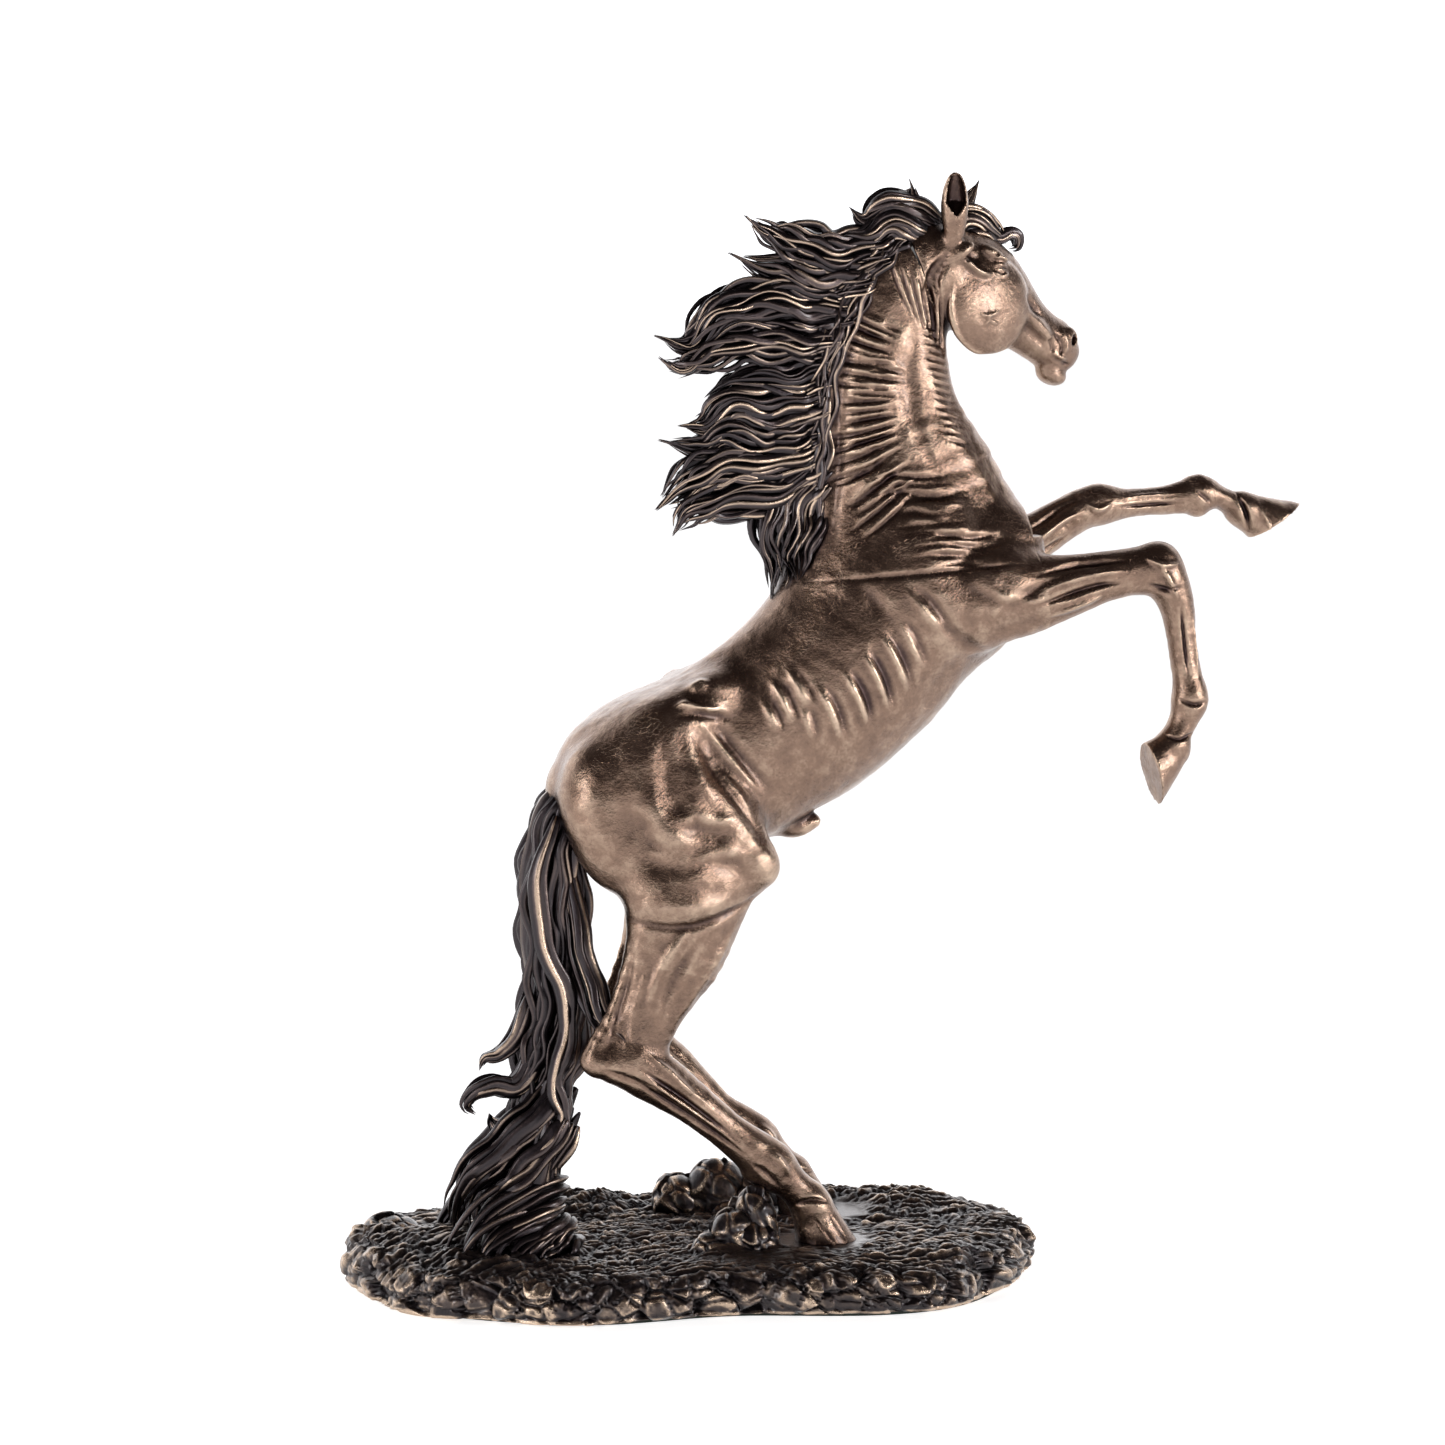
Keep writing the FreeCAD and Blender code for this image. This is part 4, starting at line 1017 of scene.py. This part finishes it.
# each lock: guide (x, z), half widths along it, half thickness, strands in a layer, strand radius
MANE = {
    "mane_poll_locks": [([(74, 315), (66, 319.5), (59, 319.5), (52, 316), (47, 319.5)], (3, 4.2, 4, 2.4, 0), 5, 5,
                         1.5),
                        ([(73, 314), (67.5, 320), (65.5, 328)], (3, 2.4, 0), 2, 3, 1.2),
                        ([(70, 311), (60, 314), (51, 311), (42, 311)], (4, 5, 3.6, 0.5), 7, 6, 1.5)],
    "mane_upper_locks": [([(57, 308), (47, 306), (38, 305.5), (29, 309.5), (22, 312), (15, 317)],
                          (5, 7, 8, 6, 3.2, 0), 6.5, 7, 1.75),
                         ([(52, 300), (44, 298), (33, 298), (23, 301), (10, 306)], (5, 6.5, 7, 4.5, 0), 6.5, 6,
                          1.75)],
    "mane_middle_locks": [([(46, 290), (38, 290), (29, 291), (17, 291), (6, 287), (-2, 279), (-12, 282)],
                           (5, 7, 8, 7.5, 6, 3.4, 0), 6.5, 7, 1.8),
                          ([(42, 280), (34, 279), (26, 279), (14, 280), (3, 276), (-5, 272.5), (-11, 275.5)],
                           (5, 6.5, 6.8, 6.4, 4.6, 2.6, 0), 6.5, 6, 1.75)],
    "mane_lower_locks": [([(39, 271), (27, 268), (14, 269.5), (3, 264)], (5, 4.8, 3, 0.3), 6, 5, 1.5),
                         ([(38, 263), (30, 260), (21, 259.5), (11, 260.5), (3, 256), (-5, 255.5)],
                          (5, 7, 8, 6.6, 3.6, 0), 6.5, 7, 1.75),
                         ([(37, 255), (29, 251), (20, 250), (9, 252.5), (0, 249), (-11, 251.5)],
                          (5, 6.5, 7, 6, 3.4, 0), 6.5, 6, 1.75)],
    "mane_bottom_locks": [([(38, 249), (29, 245), (17, 244.5), (6, 243), (-3, 238), (-12, 231)],
                           (5, 7, 8, 7.5, 6, 0.8), 6.5, 7, 1.8),
                          ([(37, 242), (28, 238), (16, 235.5), (4, 234), (-3, 229), (-7, 223.5)],
                           (5, 6.5, 7.6, 6.4, 4, 0), 6.5, 6, 1.75)],
    "mane_withers_locks": [([(37, 245), (28, 236), (23, 226), (24.5, 215), (23.5, 203)], (5, 5.4, 4.8, 3.4, 0), 6, 5,
                            1.7),
                           ([(37, 239), (31, 230), (29, 220), (28.5, 210)], (4, 4, 3, 0), 7, 4, 1.5),
                           ([(36, 229), (32, 219), (28.5, 210)], (3, 2.5, 0), 6, 3, 1.4)],
}
# hair that runs down the crest and covers the roots of the locks
CREST = {"mane_poll_locks": [(76, 312), (69, 315), (62, 314), (56, 308), (51, 301)],
         "mane_upper_locks": [(66, 314), (57, 309), (50, 301), (45, 291), (41, 281)],
         "mane_middle_locks": [(54, 306), (47, 297), (42, 286), (38.5, 274), (36.5, 262)],
         "mane_lower_locks": [(42, 287), (38.5, 275), (36, 262), (34.5, 248), (33, 236)],
         "mane_bottom_locks": [(37, 264), (35, 252), (33.5, 240), (31, 229), (28, 220)],
         "mane_withers_locks": [(35, 250), (33.5, 238), (31.5, 226), (29, 216), (26, 207)]}
for name, guides in MANE.items():
    tuft = Tuft()
    for guide, half, thick, count, width in guides:
        mass(tuft, guide, half, thick * 0.8, round(count * 1.45), width * 0.74, wave=1.25, y_end=-2.0, hug=neck_half)
        mass(tuft, guide, [0.8 * q for q in half], 1.5, max(2, count // 2), width * 1.5, wave=0.6, layers=(0,),
             y_end=-2.0)
    mass(tuft, CREST[name], (2.5, 4.5, 5.2, 4.6, 2.2), 3.4, 8, 1.0, wave=1.1, hug=neck_half)
    tuft.done(name, [name])

tuft = Tuft()
mass(tuft, [(79, 313), (84, 316.5), (90, 316), (95, 312.5), (99, 309)], (3, 4, 3.8, 3.2, 0.8), 3.2, 6, 1.35, wave=0.5,
     y0=3.0, y_end=7)
mass(tuft, [(80, 309), (87, 311), (93, 309.5), (97, 306)], (3, 3.2, 2.8, 0.6), 3.4, 5, 1.25, wave=0.4, y0=4.0,
     y_end=7)
mass(tuft, [(92, 311), (97, 310.4), (100.4, 312), (103, 311), (103, 308), (100.5, 307.4)],
     (1.6, 1.6, 1.6, 1.5, 1.3, 0.8), 1.8, 3, 1.15, wave=0.2, y0=7, y_end=9)
mass(tuft, [(79, 314), (83.5, 319), (87, 322), (90.5, 328)], (3, 3, 2.2, 0), 1.8, 4, 1.2, wave=0.3, y0=4, y_end=7)
tuft.done("forelock", ["forelock_casting"])

tuft = Tuft()
TAIL = [(-35, 152, 4), (-39, 145, 6.2), (-42.5, 136, 8), (-43.5, 122, 10.8), (-43, 107, 11.6), (-42, 92, 12),
        (-42.5, 77, 12),
        (-46, 66, 10.4), (-49, 56, 8.2), (-49.5, 46, 8), (-50, 36, 9), (-50, 15, 10)]
TAIL_AT, TAIL_HALF = [q[:2] for q in TAIL], [q[2] for q in TAIL]
mass(tuft, TAIL_AT, [0.86 * q for q in TAIL_HALF], 9.5, 11, 1.6, wave=1.3)
mass(tuft, TAIL_AT, [0.72 * q for q in TAIL_HALF], 6.5, 8, 2.1, wave=1.6)
mass(tuft, TAIL_AT, [0.62 * q for q in TAIL_HALF], 0.5, 5, 4.6, wave=0.3, layers=(0,))
# the long bright lock in front, the locks that lap the hock, and the curls behind
mass(tuft, [(-44, 142), (-50, 124), (-48, 104), (-42, 88), (-42.5, 75), (-46, 63), (-43.5, 54), (-45, 48), (-52, 41),
            (-55, 35)],
     (1, 1.6, 1.8, 1.8, 2, 2, 2, 2, 1.4, 0.3), 1.6, 2, 1.9, wave=0.4, layers=(-1,), y0=-9.5, y_end=-15)
mass(tuft, [(-40, 126), (-38, 108), (-35, 92), (-31, 80), (-27.5, 72), (-24.5, 65)], (2.4, 3.4, 4, 3.6, 2.4, 0.4),
     3.5, 5, 1.4, wave=0.7, y0=-5, y_end=-25)
mass(tuft, [(-38, 96), (-34, 84), (-28, 79), (-23, 74)], (3, 3, 2.2, 0.3), 2.4, 4, 1.3, wave=0.5, y0=-8, y_end=-27)
mass(tuft, [(-37, 88), (-36.5, 74), (-41, 63), (-43.5, 52), (-46, 42), (-45, 28), (-44, 16)],
     (3, 3.4, 3, 2.4, 2.4, 3, 3), 4.5, 4, 1.7, wave=0.7, y0=-3, y_end=-6)
mass(tuft, [(-47, 80), (-51, 66), (-56, 60.5), (-62, 61.6), (-67.5, 60), (-70.4, 56), (-67.6, 53)],
     (3, 3, 2.6, 2.4, 2.2, 1.8, 1.0), 3, 4, 1.5, wave=0.3, y0=-3)
mass(tuft, [(-50, 88), (-54.5, 76), (-60, 70.5), (-64.5, 69.6), (-66, 66)], (3, 2.4, 1.7, 1.4, 0.6), 2.2, 3, 1.3,
     wave=0.3, y0=-2)
tuft.done("tail", ["tail_casting", "tail_stud"])


# ---------------------------------------------------------------- ground
OUTLINE = [(-103, 12), (-101, -6), (-97, -22), (-88, -34), (-72, -42), (-58, -52), (-42, -55.5), (-18, -54),
           (2, -55.5), (20, -60), (40, -64), (56, -63.5),
           (68, -58), (82, -46), (90, -36), (99, -20), (104, -2), (99, 20), (78, 40), (48, 52), (22, 58), (-2, 55),
           (-28, 58), (-58, 58), (-82, 46), (-98, 30)]
# heaps and rocks: middle, half length and breadth, height, and how rough
HEAPS = ((-62, -4, 26, 26, 4.5, 0.4), (4, -24, 12, 10, 2.0, 0.8), (26, -30, 30, 12, 1.6, 0.3),
         (19, 31, 15, 9, 4.5, 1.0),
         (66, 24, 26, 18, 3.0, 0.8), (-96, 8, 14, 26, 3.5, 1.2), (-30, 44, 24, 12, 4.5, 1.2),
         (60, -44, 26, 9, 1.8, 0.8))
# loose stones: middle, radii, seed
STONES = (((13, -21, 18), (7.5, 7.5, 13), 3), ((5, -24, 15), (7.5, 7.5, 10), 4), ((11, -27, 14), (8, 6, 7.5), 5),
          ((-2, -26, 13), (6, 6, 6), 6),
          ((15, 31, 16), (10, 8, 12), 7), ((26, 29, 14), (9, 7, 9), 8), ((4, 34, 14), (9, 8, 9), 9),
          ((-88, 24, 12), (9, 8, 6), 10))


def outline_points(count):
    """Evenly spaced points round the smoothed outline."""
    p = np.array(OUTLINE, float)
    closed = np.vstack([p[-2:], p, p[:3]])
    per = 24
    path = smooth_path(closed, per)[2 * per: (2 + len(p)) * per]
    path = np.vstack([path, path[:1]])
    d = np.concatenate([[0], np.cumsum(np.linalg.norm(np.diff(path, axis=0), axis=1))])
    u = np.linspace(0, d[-1], count, endpoint=False)
    return np.stack([np.interp(u, d, path[:, 0]), np.interp(u, d, path[:, 1])], 1)


def ground_height(x, y):
    """Height of the rock's top, and how bright each point is rubbed."""
    p = np.stack([x, y, np.zeros_like(x)], 1)
    h = GROUND + 1.1 * value_noise(p, 26, 3) + 0.6 * value_noise(p, 10, 4)
    for cx, cy, rx, ry, top, rough in HEAPS:
        q = np.sqrt(((x - cx) / rx) ** 2 + ((y - cy) / ry) ** 2) * (1 + 0.25 * value_noise(p + cx, 7, 8))
        w = ease(np.clip(1.3 - q, 0, 1))
        chips, edge = facets(p, 4.6, 12)
        h += top * w + rough * w * (chips * 0.9 - 0.5 * near(edge, 0.1))
    # combed grooves that wander, broken into short runs, and clods between them
    across = y + 0.25 * x * np.tanh(x / 40) + 5.5 * value_noise(p, 24, 13) + 1.6 * value_noise(p, 9, 14)
    comb = np.abs(np.sin(math.pi * across / 3.3)) ** 0.8
    runs = np.clip(0.6 + 1.2 * value_noise(p * [0.6, 1.3, 1], 8, 15), 0, 1)
    clod, edge = facets(p * [0.75, 1.25, 1], 5.0, 5)
    fine, edge2 = facets(p, 2.6, 9)
    rough = clod * 0.9 - 0.8 * near(edge, 0.12) + fine * 0.5 - 0.4 * near(edge2, 0.15)
    detail = 1.5 * (comb - 0.6) * runs + rough * (1.15 - 0.6 * runs)
    # smooth trodden places under the hooves, and a ledge before the near one
    calm = np.zeros_like(x)
    for cx, cy, rx, ry in ((34, -20, 12.5, 10.5), (45, 16.5, 12.5, 10.5)):
        q = np.sqrt(((x - cx) / rx) ** 2 + ((y - cy) / ry) ** 2)
        w = np.clip((1.5 - q) / 0.5, 0, 1)
        h = h * (1 - w) + (GROUND - 0.3) * w
        calm = np.maximum(calm, w)
    calm = np.maximum(calm, 0.75 * np.clip(1.4 - np.sqrt(((x - 18) / 26) ** 2 + ((y + 38) / 7) ** 2), 0, 1))
    h += detail * (1 - calm)
    return h, np.clip((detail + 0.1) * 0.50, -0.3, 1) * (1 - calm) - 0.06


def build_ground():
    turns = 620
    rings = 118
    rim = outline_points(turns)
    s = (np.arange(rings) + 0.5) / rings
    inner = rim[None] * (s ** 0.9)[:, None, None] * 0.97
    x, y = inner[..., 0].ravel(), inner[..., 1].ravel()
    h, bright = ground_height(x, y)
    drop = np.clip((np.repeat(s ** 0.9, turns) - 0.88) / 0.12, 0, 1)
    h -= 1.8 * drop ** 2
    rows = [np.stack([x, y, h], 1).reshape(rings, turns, 3)]
    wall_rows = 30
    edge_z = rows[0][-1, :, 2]
    for k in range(1, wall_rows + 1):
        q = k / wall_rows
        bulge = 0.97 + 0.045 * math.sin(min(q * 1.5, 1) * math.pi / 2) - 0.008 * q ** 2.5
        rows.append(np.stack([rim[:, 0] * bulge, rim[:, 1] * bulge, edge_z * (1 - q) + FELT_TOP * q], 1)[None])
    grid = np.vstack(rows)
    flat = grid.reshape(-1, 3)
    blend_rows = 9                     # outermost rows of the top, which turn into the wall
    first = (rings - blend_rows) * turns
    wall = flat[first:]
    out = unit(np.stack([wall[:, 0], wall[:, 1] * 1.8, wall[:, 2] * 0], 1))
    big, e1 = facets(wall * [1, 1, 1.2], 11.0, 21)
    small, e2 = facets(wall * [0.8, 0.8, 1.2], 7.0, 22)
    chip, _ = facets(wall, 2.4, 23)
    fine = value_noise(wall, 1.6, 5)
    low = np.clip(wall[:, 2] / 2.5, 0.35, 1) * np.clip(np.arange(len(wall)) // turns / blend_rows, 0, 1)
    push = big * 3.4 - 1.6 * near(e1, 0.07) + small * 1.1 - 0.6 * near(e2, 0.1) + chip * 0.22 + 0.1 * fine
    wall += out * (push * low)[:, None]
    wall[:, 2] += low * (small * 0.8 + big * 1.2) * np.clip((wall[:, 2] - 4) / 6, 0, 1)
    # painted light on the wall: a painted highlight along the facet edges and painted shade over the lowest 3.5 mm,
    # against the floor's reflection; small and chip are the facets' own tone
    lit_edge = near(np.minimum(e1 * 1.4, e2) - 0.22, 0.09)
    glint = -0.06 - 1.3 * np.clip((3.5 - wall[:, 2]) / 3, 0,
                                  1) + 0.85 * lit_edge * (0.5 + 0.5 * value_noise(wall, 9,
                                          6)) + 0.35 * small + 0.25 * chip
    bright = np.concatenate([bright, np.zeros(len(flat) - len(bright))])
    bright[first:] = bright[first:] * (1 - low) + glint * low
    tri = tube_faces(grid.shape[0], turns, flip=True)
    flat = np.vstack([flat, [0, 0, GROUND], [0, 0, FELT_TOP]])
    loose, faces, tones = [flat], [tri], [bright, [0, 0]]
    rows, sides = 40, 64
    for middle, radii, seed in STONES:
        a, b = np.meshgrid(np.linspace(0.02, math.pi - 0.02, rows),
                           np.linspace(0, 2 * math.pi, sides, endpoint=False), indexing="ij")
        ball = np.stack([np.sin(a) * np.cos(b), np.sin(a) * np.sin(b), np.cos(a)], -1).reshape(-1, 3)
        points = ball * radii + middle
        chips, e1 = facets(points, 8.0, seed)
        small, _ = facets(points, 3.2, seed + 9)
        points = points + ball * (chips * 1.3 - 0.5 * near(e1, 0.1) + small * 0.2)[:, None]
        faces.append(tube_faces(rows, sides, flip=True) + sum(len(q) for q in loose))
        loose.append(np.vstack([points, points[:sides].mean(0), points[-sides:].mean(0)]))
        # stones are darker in tone, with a painted highlight band along their facet edges
        tones.append(np.append(-0.30 + 0.4 * small + 0.8 * near(e1 - 0.2, 0.09), [0, 0]))
    flat, tri, bright = np.vstack(loose), np.vstack(faces), np.concatenate(tones)
    # relief gives the patina and rubbed tone; bright also carries the painted highlights of wall and stones and the
    # painted shade at the wall's foot
    patina_and_painted_light = relief(flat, tri) * 0.25 + bright
    make_object("ground", flat, tri, EARTH, ["ground_casting", "stud_washers", "stud_nuts"],
                extra=patina_and_painted_light)


build_ground()

# long grass that falls in arches round the foot of the tail
tuft = Tuft()
r = np.random.default_rng(17)
for side in (-1, 1):
    for cx, low, high, count, deep, tall, top in ((-43, 9, 34, 13, 20, 0.68, 1), (-45, 7, 30, 11, 24, 0.50, 0),
                                                  (-41, 4, 12, 6, 22, 0.8, 1)):
        for radius in np.linspace(low, high, count):
            size = radius * r.uniform(0.94, 1.05)
            middle = cx + r.uniform(-2.5, 2.8)
            path = []
            for t, out in ((0.0, 0.5), (0.2, 0.76), (0.5, 0.9), (0.9, 0.97), (1.3, 1.0), (1.62, 1.0)):
                y = side * (deep * out * math.sqrt(1 - (size / 48) ** 2) + r.uniform(-0.6, 0.6))
                path.append((middle - size * math.sin(t), y, GROUND - 1 + top + size * tall * math.cos(t)))
            w = r.uniform(1.2, 1.8)
            # each blade gets a painted highlight line on the side that faces out
            tuft.add(path, w, w * 1.1, wave=0.4, waves=1.6, phase=r.uniform(0, ROUND), roll=r.uniform(-0.4, 0.4),
                     rows=30, sides=12,
                     face=side, shine=r.uniform(0.3, 1.0))
for layer, away in ((-1, 0), (1, 5)):
    mass(tuft, [(-43 + away, 60), (-50 + away, 52), (-59 + away, 44), (-68 + away, 37), (-73 + away, 29),
                (-73 + away, 17)],
         (5, 6, 6.5, 5.5, 4.5, 4), 12, 6, 2.0, wave=0.6, layers=(layer,))
    mass(tuft, [(-42 + away, 52), (-49 + away, 43), (-57 + away, 36), (-64 + away, 29), (-68 + away, 16)],
         (6, 8, 8, 7, 6), 15, 7, 2.1, wave=0.6, layers=(layer,))
mass(tuft, [(-47, 54), (-52, 40), (-56, 28), (-57, 12)], (3, 7, 10, 12), 8, 6, 4.0, wave=0.4, layers=(-1, 0, 1), y0=0)
mass(tuft, [(-47, 56), (-49, 42), (-50, 28), (-51, 11)], (3, 5, 6, 7), 13, 6, 2.2, wave=0.5, y0=0)
mass(tuft, [(-54, 40), (-58, 46), (-62, 50), (-63.5, 53)], (3, 2.6, 1.6, 0.2), 3, 4, 1.2, wave=0.3, y0=-3)
tuft.done("grass_tuft", [])


def principled(name):
    """A new material, its node tree and its shader."""
    m = bpy.data.materials.new(name)
    m.use_nodes = True
    return m, m.node_tree, m.node_tree.nodes["Principled BSDF"]


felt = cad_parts["felt_pad"]
felt_look, ft, fb = principled("felt")
fb.inputs["Roughness"].default_value = 0.95
fn = ft.nodes.new("ShaderNodeTexNoise")
fn.inputs["Scale"].default_value = 1500
fr = ft.nodes.new("ShaderNodeValToRGB")
fr.color_ramp.elements[0].color = (0.008, 0.012, 0.009, 1)
fr.color_ramp.elements[1].color = (0.03, 0.042, 0.032, 1)
fcoord = ft.nodes.new("ShaderNodeTexCoord")
ft.links.new(fcoord.outputs["Object"], fn.inputs["Vector"])
ft.links.new(fn.outputs["Fac"], fr.inputs[0])
ft.links.new(fr.outputs[0], fb.inputs["Base Color"])
felt.data.materials.clear()
felt.data.materials.append(felt_look)


# ---------------------------------------------------------------- studio
bpy.ops.mesh.primitive_plane_add(size=40, location=(0, 0, 0))
floor = bpy.context.object
floor.name = "floor"
floor_look, _, shader = principled("white floor")
for key, value in (("Base Color", (0.93, 0.93, 0.93, 1)), ("Roughness", 1.0), ("Specular IOR Level", 0.0),
                   ("Emission Color", (1, 1, 1, 1)), ("Emission Strength", 0.72)):
    shader.inputs[key].default_value = value
floor.data.materials.append(floor_look)

world = bpy.context.scene.world or bpy.data.worlds.new("studio")
bpy.context.scene.world = world
world.use_nodes = True
wt = world.node_tree
wt.nodes.clear()
w_out = wt.nodes.new("ShaderNodeOutputWorld")
w_back = wt.nodes.new("ShaderNodeBackground")
w_coord = wt.nodes.new("ShaderNodeTexCoord")


def sky(kind, a=None, b=None, **values):
    """A node of the world, with its inputs linked or set."""
    nd = wt.nodes.new(kind)
    for key, value in values.items():
        setattr(nd, key, value)
    for i, q in enumerate((a, b)):
        if hasattr(q, "is_output"):
            wt.links.new(q, nd.inputs[i])
        elif q is not None:
            nd.inputs[i].default_value = q
    return nd


def step_up(value, low, high):
    """A smooth step from 0 at low to 1 at high."""
    nd = sky("ShaderNodeMapRange", value)
    nd.interpolation_type = "SMOOTHSTEP"
    nd.inputs["From Min"].default_value = low
    nd.inputs["From Max"].default_value = high
    return nd.outputs[0]


# a bright sweep behind the object, full up to 33 degrees and gone by 58, a bright ring up to the horizon, and
# a dim room above and in front
way = sky("ShaderNodeSeparateXYZ", w_coord.outputs["Generated"])
behind = step_up(way.outputs["Y"], 0.05, 0.40)
under = step_up(way.outputs["Z"], 0.85, 0.55)
swept = sky("ShaderNodeMath", behind, under, operation="MULTIPLY").outputs[0]
lit = sky("ShaderNodeMath", swept, step_up(way.outputs["Z"], 0.09, 0.04), operation="MAXIMUM").outputs[0]
w_mix = wt.nodes.new("ShaderNodeMix")
w_mix.data_type = "RGBA"
w_mix.inputs["A"].default_value = (0.062, 0.052, 0.052, 1)
w_mix.inputs["B"].default_value = (1.75, 1.75, 1.78, 1)
wt.links.new(lit, w_mix.inputs["Factor"])
wt.links.new(w_mix.outputs["Result"], w_back.inputs[0])
wt.links.new(w_back.outputs[0], w_out.inputs[0])


def area(name, at, to, size, power):
    """A square light at a place, turned to a point."""
    light = bpy.data.lights.new(name, "AREA")
    light.energy = power
    light.size = size
    o = bpy.data.objects.new(name, light)
    bpy.context.scene.collection.objects.link(o)
    o.location = at
    o.rotation_euler = (Vector(to) - Vector(at)).to_track_quat("-Z", "Y").to_euler()


area("left window", (-1.2, -0.70, 0.45), (0, 0, 0.16), 0.55, 7)
area("right window", (1.15, -1.0, 0.40), (0, 0, 0.15), 0.34, 9)

AZ, EL, DIST = math.radians(-15), math.radians(6.5), 1.2
SENSOR = 36.0
FOCAL, WIDTH = 4025.0, 1445.0        # focal length and width of the picture, in the same unit
target = Vector((0.0088, 0.0, 0.167))
back = Vector((math.sin(AZ) * math.cos(EL), -math.cos(AZ) * math.cos(EL), math.sin(EL)))
cam_data = bpy.data.cameras.new("camera")
cam_data.lens = SENSOR * FOCAL / WIDTH
cam_data.sensor_width = SENSOR
cam = bpy.data.objects.new("camera", cam_data)
cam.location = target + back * DIST
cam.rotation_euler = (-back).to_track_quat("-Z", "Y").to_euler()
bpy.context.scene.collection.objects.link(cam)
bpy.context.scene.camera = cam
bpy.context.scene.view_settings.view_transform = "Standard"
